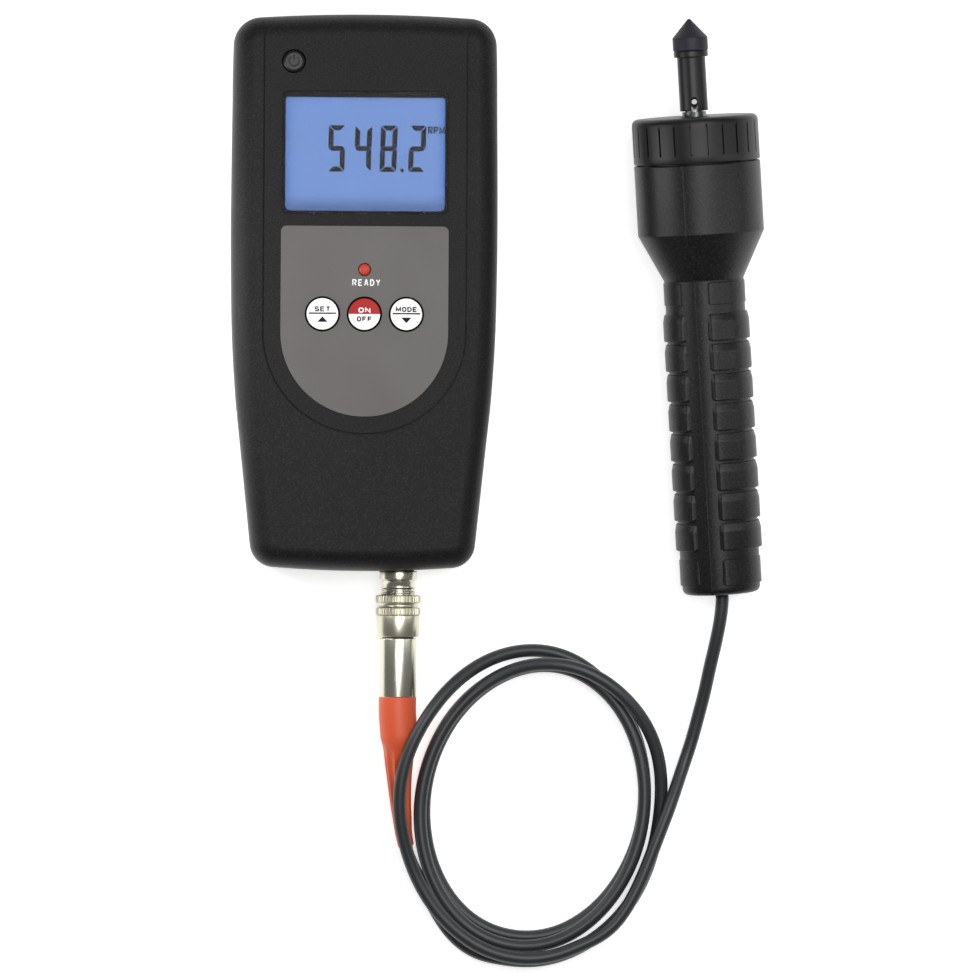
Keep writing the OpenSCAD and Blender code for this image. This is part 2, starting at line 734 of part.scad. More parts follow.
module signal_lamp() color("#c23a2a") translate([0, lamp_y, 0]) {
    translate([0, 0, board_top]) cylinder(h = case_t - board_top, r = lamp_r);
    translate([0, 0, board_top]) cylinder(h = overlay_t, r = lamp_r + lamp_ring);
    translate([0, 0, case_t]) intersection() {
        cylinder(h = lamp_r, r = lamp_r);
        translate([0, 0, -lamp_r * 2]) sphere(lamp_r * 2.25);
    }
}

module main_board() color("#2f6b45") difference() {
    translate([-board_w / 2, board_low, board_z]) cube([board_w, board_high - board_low, board_t]);
    for (p = board_holes) translate([p[0], p[1], 0]) cylinder(h = case_t, r = board_screw_r + seat_gap);
    for (p = case_holes) translate([p[0], p[1], 0]) cylinder(h = case_t, r = case_boss_r + body_gap);
}

module key_switch() {
    translate([-switch_w / 2, -switch_w / 2, board_top]) cube([switch_w, switch_w, switch_h]);
    translate([0, 0, board_top + switch_h]) cylinder(h = plunger_h, r = plunger_r);
}

module key_switches() color("#3a3a3a") for (p = [each key_places, standby_place]) translate(p) key_switch();

// Keys: cap, collar behind the panel and a stem that presses the switch

module key_cap(r, top) {
    translate([0, 0, flange_z]) cylinder(h = top - key_edge - flange_z, r = r);
    translate([0, 0, top - key_edge]) cylinder(h = key_edge, r1 = r, r2 = r - key_edge);
    translate([0, 0, flange_z]) cylinder(h = flange_t, r = r + flange_w);
    translate([0, 0, stem_end]) cylinder(h = flange_z - stem_end + flange_t / 2, r = stem_r);
}

module function_key() color("#f2f2f0") translate(key_places[0]) key_cap(key_r, case_t + key_rise);
module measure_key() color("#c8382c") translate(key_places[1]) key_cap(key_r, case_t + key_rise);
module memory_key() color("#f2f2f0") translate(key_places[2]) key_cap(key_r, case_t + key_rise);
module standby_key() color("#1e1e1e") translate(standby_place) key_cap(standby_r, case_t + standby_rise);

// Battery bay

cell_places = [for (i = [-1.5 : 1 : 1.5]) i * cell_pitch];

module battery_cells() color("#b5a642") for (x = cell_places)
    translate([x, cell_low, cell_z]) rotate([-90, 0, 0]) {
        cylinder(h = cell_l - contact_t, r = cell_d / 2);
        cylinder(h = cell_l, r = nub_r);
    }

module battery_contacts() color("#c9c9c4") for (x = cell_places) {
    for (y = [bay_low, bay_high - contact_t])
        translate([x - contact_w / 2, y, cell_z - contact_w / 2]) cube([contact_w, contact_t, contact_w]);
    translate([x, bay_low, cell_z]) rotate([-90, 0, 0]) cylinder(h = contact_t + spring_h, r = spring_r);
}

module battery_door() color("#272728") difference() {
    intersection() {
        back_form(0, door_sink);
        union() {
            translate([-door_side, -case_l, door_sink]) cube([2 * door_side, case_l + door_high, door_t]);
            translate([-door_side - door_tongue, -case_l, door_top - door_tongue_t])
                cube([2 * (door_side + door_tongue), case_l + door_high, door_tongue_t]);
        }
    }
    for (i = [0 : thumb_count - 1])
        translate([-thumb_w / 2, door_high - 2 * thumb_w / 3 - i * thumb_pitch, 0])
            cube([thumb_w, thumb_pitch / 2, door_sink + thumb_cut]);
}

module case_screw() {
    cylinder(h = case_screw_l, r = case_screw_r);
    difference() {
        translate([0, 0, -case_head_h]) cylinder(h = case_head_h, r = case_head_r);
        for (a = [0, 90]) rotate([0, 0, a]) translate([-cross_l / 2, -cross_w / 2, -case_head_h - over])
            cube([cross_l, cross_w, case_head_h / 2 + over]);
    }
}

module case_screws() color("#8d8d8d") for (p = case_holes)
    translate([p[0], p[1], case_head_z + case_head_h]) case_screw();

module board_screws() color("#8d8d8d") for (p = board_holes) translate([p[0], p[1], board_z]) {
    translate([0, 0, -board_head_h]) cylinder(h = board_head_h, r = board_head_r);
    translate([0, 0, -board_head_h / 2])
        cylinder(h = (inner_z - board_z + board_head_h) / 2, r = board_screw_r);
}

// Connector, drawn along an axis that runs out of the end of the case

module at_socket() {
    translate([socket_x, end_y, socket_z]) rotate([90, 0, 0]) children();
}

module pin_circle(r, from, l) {
    for (i = [0 : pin_count - 1]) rotate([0, 0, 360 * (i + 0.5) / pin_count]) translate([pin_ring, 0, from])
        cylinder(h = l, r = r);
}

module socket_body() color("#c9c5b4") at_socket() rotate_extrude() polygon([
    [socket_bore, -barrel_in], [barrel_r, -barrel_in], [barrel_r, 0], [flange_r, 0], [flange_r, flange_l],
    [neck_r, flange_l], [neck_r, neck_end],
    for (i = [0 : floor((socket_end - neck_end) / thread_pitch) - 1]) let (z = neck_end + i * thread_pitch)
        each [[thread_r - thread_depth, z], [thread_r, z + thread_pitch / 3],
            [thread_r, z + thread_pitch * 2 / 3]],
    [thread_r - thread_depth, socket_end], [socket_bore, socket_end]]);

module socket_nut() color("#b9b5a6") at_socket() translate([0, 0, -wall * 3 / 2 - nut_t]) difference() {
    cylinder(h = nut_t, r = nut_r, $fn = 6);
    translate([0, 0, -over]) cylinder(h = nut_t + 2 * over, r = barrel_r + run_gap);
}

module socket_insert() color("#20201f") at_socket() {
    translate([0, 0, -barrel_in]) cylinder(h = socket_floor + barrel_in, r = socket_bore - pin_gap);
    pin_circle(pin_r, -barrel_in - solder_l, barrel_in + solder_l + socket_floor + pin_l);
}

module plug_shell() color("#d6d3c6") at_socket() rotate_extrude() polygon([
    [nose_bore, plug_nose_start], [nose_r, plug_nose_start], [nose_r, plug_flange_start],
    [plug_flange_r, plug_flange_start], [plug_flange_r, plug_flange_end], [plug_neck_r, plug_flange_end],
    [plug_neck_r, plug_start], [plug_r, plug_start], [plug_r, plug_end], [nose_bore, plug_end]]);

module plug_insert() color("#242422") at_socket() difference() {
    translate([0, 0, insert_start]) cylinder(h = plug_end - insert_start, r = nose_bore - pin_gap);
    pin_circle(pin_r + seat_gap, insert_start - over, pin_l + socket_floor + over);
}

module knurled_band(from, w) {
    tooth = 360 / knurl_teeth;
    translate([0, 0, from]) linear_extrude(w) polygon([for (i = [0 : knurl_teeth - 1]) each [
        (knurl_r - knurl_depth) * [cos((i - 0.45) * tooth), sin((i - 0.45) * tooth)],
        knurl_r * [cos((i - 0.22) * tooth), sin((i - 0.22) * tooth)],
        knurl_r * [cos((i + 0.22) * tooth), sin((i + 0.22) * tooth)]]]);
}

module coupling_ring() color("#cfccbd") at_socket() difference() {
    union() {
        knurled_band(ring_start, knurl_w);
        translate([0, 0, ring_start + knurl_w]) cylinder(h = band_w, r = band_r);
        knurled_band(ring_start + knurl_w + band_w, knurl_w);
        translate([0, 0, ring_start + 2 * knurl_w + band_w])
            cylinder(h = ring_end - ring_start - 2 * knurl_w - band_w, r = ring_r);
    }
    translate([0, 0, ring_start - over]) cylinder(h = ring_end - ring_lip - ring_start + over, r = ring_bore);
    cylinder(h = 2 * ring_end, r = plug_neck_r + body_gap);
}

// Boot and cord

module plug_boot() color("#dd6b4a") swept(boot_line,
    [for (s = boot_r_share) boot_tip_r + (boot_r - boot_tip_r) * s], boot_sides, boot_flute_share);

module cord_short_lead() color("#343638") cord_tube(short_lead_line, lead_sides);
module cord_coil() color("#343638") cord_tube(coil_line, coil_sides);
module cord_probe_lead() color("#343638") cord_tube(probe_lead_line, lead_sides);

// Probe, drawn along its own axis

module at_probe() {
    translate(butt_point) rotate([0, 0, probe_lean]) rotate([-90 + probe_tilt, 0, 0]) children();
}

// Turns a half so that it starts at the seam, which lies left of the line of sight
module at_seam(side) {
    rotate([0, 0, -90 + seam_angle + (side > 0 ? 0 : 180)]) children();
}

module half_turned(sweep, start) {
    rotate([0, 0, start]) rotate_extrude(angle = sweep) children();
}

module rib_profile(from, l, r, top_edge, top_drop) {
    polygon([[grip_r - pad_sink, from], [r - rib_low_edge, from], [r, from + rib_low_edge],
        [r, from + l - top_edge], [r - top_drop, from + l], [grip_r - pad_sink, from + l]]);
}

module housing_profile() {
    inner = grip_r - probe_wall;
    polygon([[cord_hole_r, 0], [butt_r - butt_round, 0],
        for (a = [22.5 : 22.5 : 67.5])
            [butt_r - butt_round + butt_round * sin(a), butt_round - butt_round * cos(a)],
        [butt_r, butt_round], [grip_r, ribs_start], [grip_r, cone_start], [head_r, head_start],
        [head_r, head_end - head_edge], [head_r - head_edge, head_end],
        [mouth_r, head_end], [mouth_r, window_seat], [mouth_r - probe_wall, window_seat],
        [mouth_r - probe_wall, head_start + probe_wall],
        [inner, cone_start + probe_wall], [inner, grommet_l], [cord_hole_r, grommet_l]]);
}

module probe_half(side) at_seam(side) difference() {
    union() {
        half_turned(half_turn, 0) housing_profile();
        for (i = [0 : rib_count - 1]) half_turned(half_turn - 2 * strip_half, strip_half)
            rib_profile(ribs_start + i * rib_pitch, rib_l, rib_r, rib_top_edge, rib_top_drop);
        half_turned(half_turn - 2 * strip_half, strip_half)
            rib_profile(butt_pad[0], butt_pad[1] - butt_pad[0], pad_r, pad_edge, pad_edge);
        half_turned(half_turn - 2 * strip_half, strip_half)
            rib_profile(neck_pad[0], neck_pad[1] - neck_pad[0], pad_r, pad_edge, pad_edge);
        for (z = probe_boss_z) translate([0, 0, z]) rotate([-90, 0, 0])
            cylinder(h = grip_r - probe_wall / 2, r = probe_boss_r);
    }
    for (z = probe_boss_z) translate([0, 0, z]) rotate([-90, 0, 0]) {
        translate([0, 0, -over]) cylinder(h = side > 0 ? grip_r - probe_wall : 2 * rib_r,
            r = probe_screw_r + (side > 0 ? pin_gap : run_gap));
        if (side < 0) translate([0, 0, probe_head_low]) cylinder(h = rib_r, r = probe_head_r + seat_gap);
    }
}

module probe_shell_right() color("#2e2e2f") at_probe() probe_half(1);
module probe_shell_left() color("#2a2a2b") at_probe() probe_half(-1);

module probe_screws() color("#8d8d8d") at_probe() at_seam(-1) for (z = probe_boss_z) translate([0, 0, z])
    rotate([-90, 0, 0]) {
        translate([0, 0, -grip_r / 2]) cylinder(h = grip_r / 2 + probe_head_low, r = probe_screw_r);
        translate([0, 0, probe_head_low]) cylinder(h = probe_head_h, r = probe_head_r);
    }

module cord_grommet() color("#1c1c1d") at_probe() {
    translate([0, 0, seat_gap]) cylinder(h = grommet_l - seat_gap, r = cord_hole_r - pin_gap);
    translate([0, 0, grommet_l]) cylinder(h = grommet_l / 3, r = cord_hole_r + pad_sink);
}

// The board lies between the halves, its edges in the housing
module probe_board() color("#2f6b45") at_probe() at_seam(1)
    translate([-probe_board_w / 2, -board_t / 2, probe_board_span[0]])
        cube([probe_board_w, board_t, probe_board_span[1] - probe_board_span[0]]);

module sensor_board() color("#2f6b45") at_probe() translate([0, 0, sensor_board_z])
    cylinder(h = board_t, r = sensor_board_r);

module light_unit(side) {
    at_probe() at_seam(1) translate([side * sensor_shift, 0, sensor_board_z + board_t]) {
        cylinder(h = lamp_body_l - lamp_body_r, r = lamp_body_r);
        translate([0, 0, lamp_body_l - lamp_body_r]) sphere(lamp_body_r);
    }
}

module light_source() color("#d9a0a0") light_unit(1);
module light_receiver() color("#3a3340") light_unit(-1);

module sensor_window() color("#7a4a4a", 0.5) at_probe() translate([0, 0, window_seat])
    cylinder(h = lens_t, r = mouth_r - seat_gap);

// Contact adapter

module adapter_cap() color("#2c2c2d") at_probe() translate([0, 0, cap_start]) difference() {
    union() {
        rotate_extrude() polygon([[0, 0], [head_r, 0], [head_r, cap_l - cap_round],
            for (a = [18 : 18 : 72])
                [head_r - cap_round + cap_round * cos(a), cap_l - cap_round + cap_round * sin(a)],
            [head_r - cap_round, cap_l], [0, cap_l]]);
        translate([0, 0, -spigot_l]) cylinder(h = spigot_l + over, r = spigot_r);
    }
    // hollow of the cap and its spigot, with the bearing boss left standing
    difference() {
        translate([0, 0, -spigot_l - over])
            cylinder(h = cap_l - cap_wall + spigot_l + over, r = spigot_r - spigot_t);
        translate([0, 0, boss_low - cap_start]) cylinder(h = cap_l, r = bearing_hole + boss_wall);
    }
    translate([0, 0, boss_low - cap_start - over])
        cylinder(h = cap_end - cap_wall - boss_low + over, r = bearing_hole);
    cylinder(h = 2 * cap_l, r = spindle_seat_r + body_gap);
    for (i = [0 : cap_grooves - 1]) rotate([0, 0, 360 * (i + 0.5) / cap_grooves])
        translate([head_r - groove_depth, -groove_w / 2, groove_low])
            cube([groove_depth + over, groove_w, groove_top - groove_low]);
}

module bearing(from) at_probe() translate([0, 0, from]) difference() {
    cylinder(h = bearing_w, r = bearing_r);
    translate([0, 0, -over]) cylinder(h = bearing_w + 2 * over, r = spindle_r + run_gap);
}

module bearing_rear() color("#b8babd") bearing(bearing_rear_z);
module bearing_front() color("#b8babd") bearing(bearing_front_z);

module bearing_spacer() color("#9b9b98") at_probe() translate([0, 0, bearing_rear_z + bearing_w]) difference() {
    cylinder(h = spacer_l, r = bearing_r);
    translate([0, 0, -over]) cylinder(h = spacer_l + 2 * over, r = bearing_r - boss_wall);
}

module spindle_shaft() color("#c4c6c8") at_probe() difference() {
    union() {
        translate([0, 0, disc_z + disc_t]) cylinder(h = spindle_end - disc_z - disc_t, r = spindle_r);
        translate([0, 0, disc_z + disc_t]) cylinder(h = disc_room - body_gap, r = disc_hub_r);
        translate([0, 0, bearing_front_z + bearing_w + body_gap])
            cylinder(h = sleeve_start - body_gap - bearing_front_z - bearing_w - body_gap, r = spindle_seat_r);
    }
    translate([0, 0, disc_z]) cylinder(h = disc_t + 3 * bearing_w, r = disc_screw_r + pin_gap);
    translate([0, 0, drive_z]) rotate([90, 0, 0])
        cylinder(h = 2 * sleeve_r, r = drive_r + pin_gap, center = true);
}

module chopper_disc() color("#3b3b3d") at_probe() translate([0, 0, disc_z]) difference() {
    cylinder(h = disc_t, r = disc_r);
    translate([0, 0, -over]) cylinder(h = disc_t + 2 * over, r = disc_screw_r + run_gap);
    for (i = [0 : disc_windows - 1]) rotate([0, 0, 360 * i / disc_windows])
        translate([disc_r * slit_from_share, -disc_r * slit_w_share / 2, -over])
            cube([disc_r * slit_l_share, disc_r * slit_w_share, disc_t + 2 * over]);
}

module disc_screw() color("#8d8d8d") at_probe() {
    translate([0, 0, disc_z - disc_head_h]) cylinder(h = disc_head_h, r = disc_head_r);
    translate([0, 0, disc_z - disc_head_h / 2])
        cylinder(h = disc_head_h / 2 + disc_t + 2 * bearing_w, r = disc_screw_r);
}

module drive_pin() color("#d9dadb") at_probe() translate([0, 0, drive_z]) rotate([90, 0, 0])
    cylinder(h = drive_l, r = drive_r, center = true);

// Contact tip

module tip_sleeve() color("#4a4a4c") at_probe() translate([0, 0, sleeve_start]) difference() {
    union() {
        cylinder(h = sleeve_l - lip_l, r = sleeve_r);
        translate([0, 0, sleeve_l - lip_l]) cylinder(h = lip_l, r = lip_r);
    }
    translate([0, 0, -over]) cylinder(h = sleeve_bore_l + over, r = spindle_r + run_gap);
    translate([0, 0, sleeve_l - tip_stem_l]) cylinder(h = tip_stem_l + over, r = tip_stem_r);
    translate([-slot_w / 2, -2 * sleeve_r, -over]) cube([slot_w, 4 * sleeve_r, slot_l - slot_w / 2 + over]);
    translate([0, 0, slot_l - slot_w / 2]) rotate([90, 0, 0])
        cylinder(h = 4 * sleeve_r, r = slot_w / 2, center = true);
}

module rubber_tip() color("#1f1a3c") at_probe() translate([0, 0, sleeve_start + sleeve_l]) {
    half = atan2(tip_r, tip_point);
    rotate_extrude() polygon([[0, 0], [tip_r - draft, 0], [tip_r, draft], [tip_r, tip_straight],
        [tip_nose_r * cos(half), tip_straight + tip_point - tip_nose_r / tan(half) * cos(half)],
        [0, tip_straight + tip_point - tip_nose_r * 0.6]]);
    translate([0, 0, -tip_stem_l]) cylinder(h = tip_stem_l + draft, r = tip_stem_r - pin_gap);
}

front_shell();
back_shell();
display_window();
display_frame();
display_glass();
display_backlight();
overlay_plate();
signal_lamp();
main_board();
key_switches();
function_key();
measure_key();
memory_key();
standby_key();
battery_cells();
battery_contacts();
battery_door();
case_screws();
board_screws();
socket_body();
socket_nut();
socket_insert();
plug_shell();
plug_insert();
coupling_ring();
plug_boot();
cord_short_lead();
cord_coil();
cord_probe_lead();
probe_shell_left();
probe_shell_right();
probe_board();
sensor_board();
light_source();
light_receiver();
sensor_window();
probe_screws();
cord_grommet();
adapter_cap();
bearing_rear();
bearing_front();
bearing_spacer();
spindle_shaft();
chopper_disc();
disc_screw();
drive_pin();
tip_sleeve();
rubber_tip();
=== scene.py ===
import math

import bmesh
import bpy
from mathutils import Matrix, Vector


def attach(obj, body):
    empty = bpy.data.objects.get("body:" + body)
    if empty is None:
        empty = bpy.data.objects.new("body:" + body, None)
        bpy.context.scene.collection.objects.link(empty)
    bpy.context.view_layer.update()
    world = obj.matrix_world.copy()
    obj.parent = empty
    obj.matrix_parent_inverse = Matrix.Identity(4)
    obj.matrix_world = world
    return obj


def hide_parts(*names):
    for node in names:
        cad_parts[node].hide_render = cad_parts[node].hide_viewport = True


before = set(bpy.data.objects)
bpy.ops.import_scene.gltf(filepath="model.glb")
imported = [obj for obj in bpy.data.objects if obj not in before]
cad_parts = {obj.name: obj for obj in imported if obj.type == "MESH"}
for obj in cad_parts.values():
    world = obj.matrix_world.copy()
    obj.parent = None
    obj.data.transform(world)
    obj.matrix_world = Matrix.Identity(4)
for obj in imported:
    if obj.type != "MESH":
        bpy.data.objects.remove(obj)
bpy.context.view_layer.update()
scene = bpy.context.scene

MM = 0.001
DOUBLES = 1e-7

# Camera: above the part, as in the photograph

VIEW_CENTRE = Vector((32.95, -51.3, 15.0))
VIEW_WIDTH = 259.0
VIEW_DISTANCE = 2500.0
SENSOR = 36.0
ROLL = 0.34
LEAN_LEFT = 1.4

camera_data = bpy.data.cameras.new("camera")
camera_data.sensor_width = SENSOR
camera_data.lens = SENSOR * VIEW_DISTANCE / VIEW_WIDTH
camera = bpy.data.objects.new("camera", camera_data)
view_turn = Matrix.Rotation(math.radians(-LEAN_LEFT), 3, "Y") @ Matrix.Rotation(math.radians(ROLL), 3, "Z")
camera.location = (VIEW_CENTRE + view_turn @ Vector((0, 0, VIEW_DISTANCE))) * MM
camera.rotation_euler = view_turn.to_euler()
scene.collection.objects.link(camera)
scene.camera = camera


# Points and curves

def smooth_value(t, i, f):
    """The cord tables' own interpolation, between entry i and the next."""
    n = len(t) - 1
    a, b, c, d = t[max(i - 1, 0)], t[i], t[min(i + 1, n)], t[min(i + 2, n)]
    square, cube = 2 * a - 5 * b + 4 * c - d, 3 * b - a - 3 * c + d
    return (2 * b + (c - a) * f + square * (f * f) + cube * (f ** 3)) / 2


def smooth_path(points, steps):
    points = [Vector(p) for p in points]
    path = [smooth_value(points, i, j / steps) for i in range(len(points) - 1) for j in range(steps)]
    return path + [points[-1]]


def evened(path, spacing):
    """The same line with its points at even spacing."""
    length = [0.0]
    for a, b in zip(path, path[1:]):
        length.append(length[-1] + (b - a).length)
    count = max(2, round(length[-1] / spacing))
    out, k = [], 0
    for i in range(count + 1):
        want = length[-1] * i / count
        while k < len(path) - 2 and length[k + 1] < want:
            k += 1
        span = length[k + 1] - length[k]
        out.append(path[k].lerp(path[k + 1], 0 if span == 0 else min((want - length[k]) / span, 1)))
    return out


def relaxed(path, rounds, keep=2):
    """Takes small kinks out of a line and leaves its ends as they are."""
    for _ in range(rounds):
        path = path[:keep] + [path[i] * 0.5 + (path[i - 1] + path[i + 1]) * 0.25
                              for i in range(keep, len(path) - keep)] + path[-keep:]
    return path


def arc(cx, cy, r, start, end, steps):
    return [(cx + r * math.cos(math.radians(start + (end - start) * k / steps)),
             cy + r * math.sin(math.radians(start + (end - start) * k / steps))) for k in range(steps + 1)]


def filleted(points, radii, steps=4, closed=False):
    """A polyline with its corners rounded to the given radii."""
    out, n = [], len(points)
    for i, (p, r) in enumerate(zip(points, radii)):
        p = Vector(p)
        if r <= 0 or (not closed and i in (0, n - 1)):
            out.append(tuple(p))
            continue
        a, b = Vector(points[i - 1]) - p, Vector(points[(i + 1) % n]) - p
        turn = a.angle(b)
        if turn > math.pi - 1e-3:
            out.append(tuple(p))
            continue
        run = min(r / math.tan(turn / 2), a.length * 0.49, b.length * 0.49)
        p0, p1 = p + a.normalized() * run, p + b.normalized() * run
        for k in range(steps + 1):
            f = k / steps
            out.append(tuple(p0 * (1 - f) ** 2 + p * 2 * f * (1 - f) + p1 * f * f))
    return out


# Places that the construction gives, in millimetres

CASE_L, CASE_W, CASE_T, SPLIT_Z, WALL = 148.0, 71.0, 30.0, 15.0, 2.2
FRONT_ROUND, FRONT_FALL, DRAFT, CROWN = 5.6, 7.0, 0.3, 0.9
CORNER_R, CORNER_LOW_R, LEAST_R = 7.4, 6.6, 0.8
SIDE_Y_SHARE = (-0.277, -0.189, -0.081, 0.027, 0.135, 0.304)
SIDE_W_SHARE = (0.921, 0.959, 0.987, 0.997, 1, 0.994)
TOP_W_SHARE, LOW_W_SHARE = 0.986, 0.845
PANEL_W, PANEL_RISE, PANEL_GROOVE, DOME_Y = 53.2, 0.6, 0.45, -10.8
CASE_EDGE, FILM_EDGE = 0.14, 0.05
RIM_Z = CASE_T - PANEL_RISE
INNER_Z = RIM_Z - WALL
OVER, ABOVE = 0.5, CASE_T + 5
WINDOW_W, WINDOW_H, WINDOW_Y, WINDOW_R, WINDOW_T, LEDGE = 44.1, 32.6, 36.8, 1.5, 1.2, 0.95
# BORDER_TOP_SHADOW: the width of painted shadow added to the window border's upper edge
BORDER_TOP_SHADOW, BORDER_R, BORDER_GAP, BORDER_RAISED, BORDER_T = 0.7, 0.9, 0.1, 0.15, 0.05
WINDOW_Z = CASE_T - WINDOW_T - PANEL_RISE / 3
OVERLAY_W, OVERLAY_TOP, OVERLAY_T, OVERLAY_R = 44.4, 17.4, 0.5, 1.5
SEAT_GAP, KEY_GAP, LAMP_RING = 0.1, 0.32, 0.25
LAMP_R, LAMP_Y = 1.5, 5.9
KEY_R, KEY_PITCH, KEY_Y, KEY_TOP, KEY_FACE_DEPTH = 4.35, 11.1, -5.9, 30.9, 0.11
STANDBY_R, STANDBY_X, STANDBY_Y, STANDBY_TOP = 2.85, -19.0, 60.9, 30.2
STEM_R, STEM_FOOT, COLLAR_OUT, COLLAR_T, COLLAR_GAP, KEY_ROUND = 1.5, 4.7, 0.9, 1.0, 0.3, 0.38
GLASS_TOP = INNER_Z - SEAT_GAP
BOARD_TOP = 20.2

SOCKET_X, SOCKET_Z, END_Y = 9.7, 8.8, -74.0

# The cord: the same points and tables as in the model
CORD_D = 3.5
LAY_PITCH = 4.0
CORD_Z = CORD_D / 2 + 0.05
COIL_CENTRE = (45.9, -136.7)
COIL_A, COIL_B, COIL_LEAN, COIL_FROM, COIL_STEP = 29.9, 38.3, 8.66, -30, 30
CORD_SIDES, CORD_SPACING = 20, 1.6
COIL_OUT_SHARE = (
    0.8, 0.6, 0.6, 0.95, 1.5, 1.35, 1.15, 0.8, 0.3, 0.1, 0, -0.25,
    -0.55, -0.75, -0.6, -0.4, -0.25, -0.25, -0.25, -0.05, 0, 0, 0, -0.05,
    -0.1, -0.15, -0.1, -0.05, 0, -0.05, -0.1, 0.1, 0.55, 1.15, 1.1, 1.2,
    1, 0.85)
COIL_UP_SHARE = (
    1.45, 1.6, 1.75, 2.1, 2.95, 2.95, 0.95, 0, 0, 0, 0, 0,
    0, 0, 0, 0, 0, 0, 0.1, 0.95, 1.05, 1.05, 1.05, 1.05,
    1, 0.9, 0.95, 1.05, 1.05, 1.05, 1.25, 2.05, 2.05, 1.1, 0, 0,
    0, 0)
SHORT_LINE = ((29, -174.9, 1.8), (24.6, -171.3, 1.8), (21, -166.1, 1.8), (18.1, -160.7, 1.9),
              (15.5, -155.5, 2.2))
PROBE_LINE = ((95.6, -87.2, 9.7), (94.5, -93.2, 8.3), (93.1, -99.4, 6.6), (91.9, -105.9, 4.8),
              (90.3, -112.3, 3.3), (88.7, -118.7, 2.4), (86.6, -125.1, 2.2), (84.4, -131.5, 4.2),
              (82.7, -136.5, 5.7), (80.3, -142.7, 6.5), (77.9, -149.1, 6.8), (75.1, -156.2, 7),
              (71.8, -162.8, 7.2), (67.7, -168.6, 7.4))
BOOT_LINE = ((SOCKET_X, -107.6, SOCKET_Z), (SOCKET_X, -112, 8.75), (10.1, -117.7, 8.45), (10.2, -121.1, 8),
             (10.2, -124.6, 7.4), (10.3, -128.6, 6.55), (10.5, -132.6, 5.65), (10.8, -136.6, 4.8),
             (11.2, -140.4, 4.1), (11.6, -144.1, 3.5), (12.3, -147.5, 3.1))
BOOT_R_SHARE = (1, 1, 1, 0.76, 0.6, 0.44, 0.32, 0.22, 0.14, 0.05, 0)
BOOT_R, BOOT_TIP_R = 5.0, 2.15
BOOT_STEPS, FLUTES, FLUTE_SHARE = 8, 10, 0.14

# The connector's own frame: z out of the case along the socket's axis
THREAD_PITCH, THREAD_DEPTH, THREAD_R, THREAD_START, THREAD_END = 1.0, 0.3, 4.75, 4.3, 11.5
KNURL_TEETH, KNURL_DEPTH, KNURL_R = 40, 0.4, 6.0
KNURL_BANDS = ((6.4, 8.5), (9.7, 11.8))
THREAD_ROOT_R, SOCKET_BORE_R, SOCKET_NECK_R, SOCKET_TAIL, FLANGE_R, FLANGE_T = 4.45, 3.55, 4.2, 6.0, 5.1, 2.35
RING_BORE_R, RING_LIP_R, RING_EDGE_R, RING_R, RING_LIP_START, RING_END = 5.05, 4.5, 5.5, 5.8, 16.0, 17.6
PLUG_BORE_R, PLUG_NOSE_R, PLUG_STEP_R, PLUG_NECK_R, PLUG_R = 2.8, 3.5, 4.7, 4.2, 5.1
PLUG_START, PLUG_NOSE_END, PLUG_STEP_END, PLUG_NECK_END, PLUG_END = 5.0, 12.5, 15.6, 17.9, 33.6

# The probe's own frame: z along its axis from the butt, -y up
GRIP_R, RIB_R, PAD_R, BUTT_R, HEAD_R = 10.6, 11.5, 10.85, 10.35, 16.8
RIBS_START, RIB_PITCH, RIB_L, RIB_COUNT, RIB_TOP_EDGE, RIB_LOW_EDGE = 12.0, 7.97, 7.2, 8, 2.0, 0.4
CONE_START, HEAD_START, HEAD_END, PROBE_WALL = 83.9, 96.3, 114.9, 1.9
BUTT_ROUND, CORD_HOLE_R, GROMMET_L, MOUTH_DEPTH = 2.0, 2.6, 4.0, 8.0
SEAM_ANGLE, STRIP_HALF, HEAD_EDGE, RIB_TOP_DROP = -17.5, 12.5, 0.4, 0.45
SEAM_GAP, PAD_ROOT, PAD_RISE = 0.12, 0.5, 2.0
PAD_PLACES = ((2.6, 9.6), (77.4, 83.4))
LEAN = 3.8
REST_STATION = RIBS_START + RIB_LOW_EDGE
TILT = math.degrees(math.atan2(HEAD_R - RIB_R, HEAD_START - REST_STATION))
BUTT = Vector((96.0, -79.3,
               (RIB_R - REST_STATION * math.tan(math.radians(TILT))) * math.cos(math.radians(TILT)) + 0.02))
CAP_START = HEAD_END + 0.3
CAP_L, CAP_ROUND, CAP_GROOVES, GROOVE_W, GROOVE_DEPTH, GROOVE_LOW = 12.1, 1.6, 24, 0.45, 0.5, 2.2
SPIGOT_L, SPIGOT_T, CAP_WALL = 5.0, 1.5, 2.0
SPINDLE_R, SPINDLE_SEAT_R, BEARING_R = 2.5, 3.2, 5.5
SLEEVE_START = CAP_START + CAP_L + 1.5
SLEEVE_R, SLEEVE_L, SLEEVE_BORE_L, LIP_R, LIP_L = 3.75, 16.0, 12.0, 4.55, 1.7
SLOT_W, SLOT_L = 1.6, 3.7
TIP_R, TIP_STRAIGHT, TIP_POINT, TIP_STEM_R, TIP_STEM_L = 4.68, 3.5, 5.3, 2.0, 2.6

PROBE = (Matrix.Translation(BUTT) @ Matrix.Rotation(math.radians(LEAN), 4, "Z")
         @ Matrix.Rotation(math.radians(-90 + TILT), 4, "X"))
SOCKET = Matrix.Translation((SOCKET_X, END_Y, SOCKET_Z)) @ Matrix.Rotation(math.radians(90), 4, "X")
PROBE_AXIS = (PROBE.to_3x3() @ Vector((0, 0, 1))).normalized()


# The cord's line

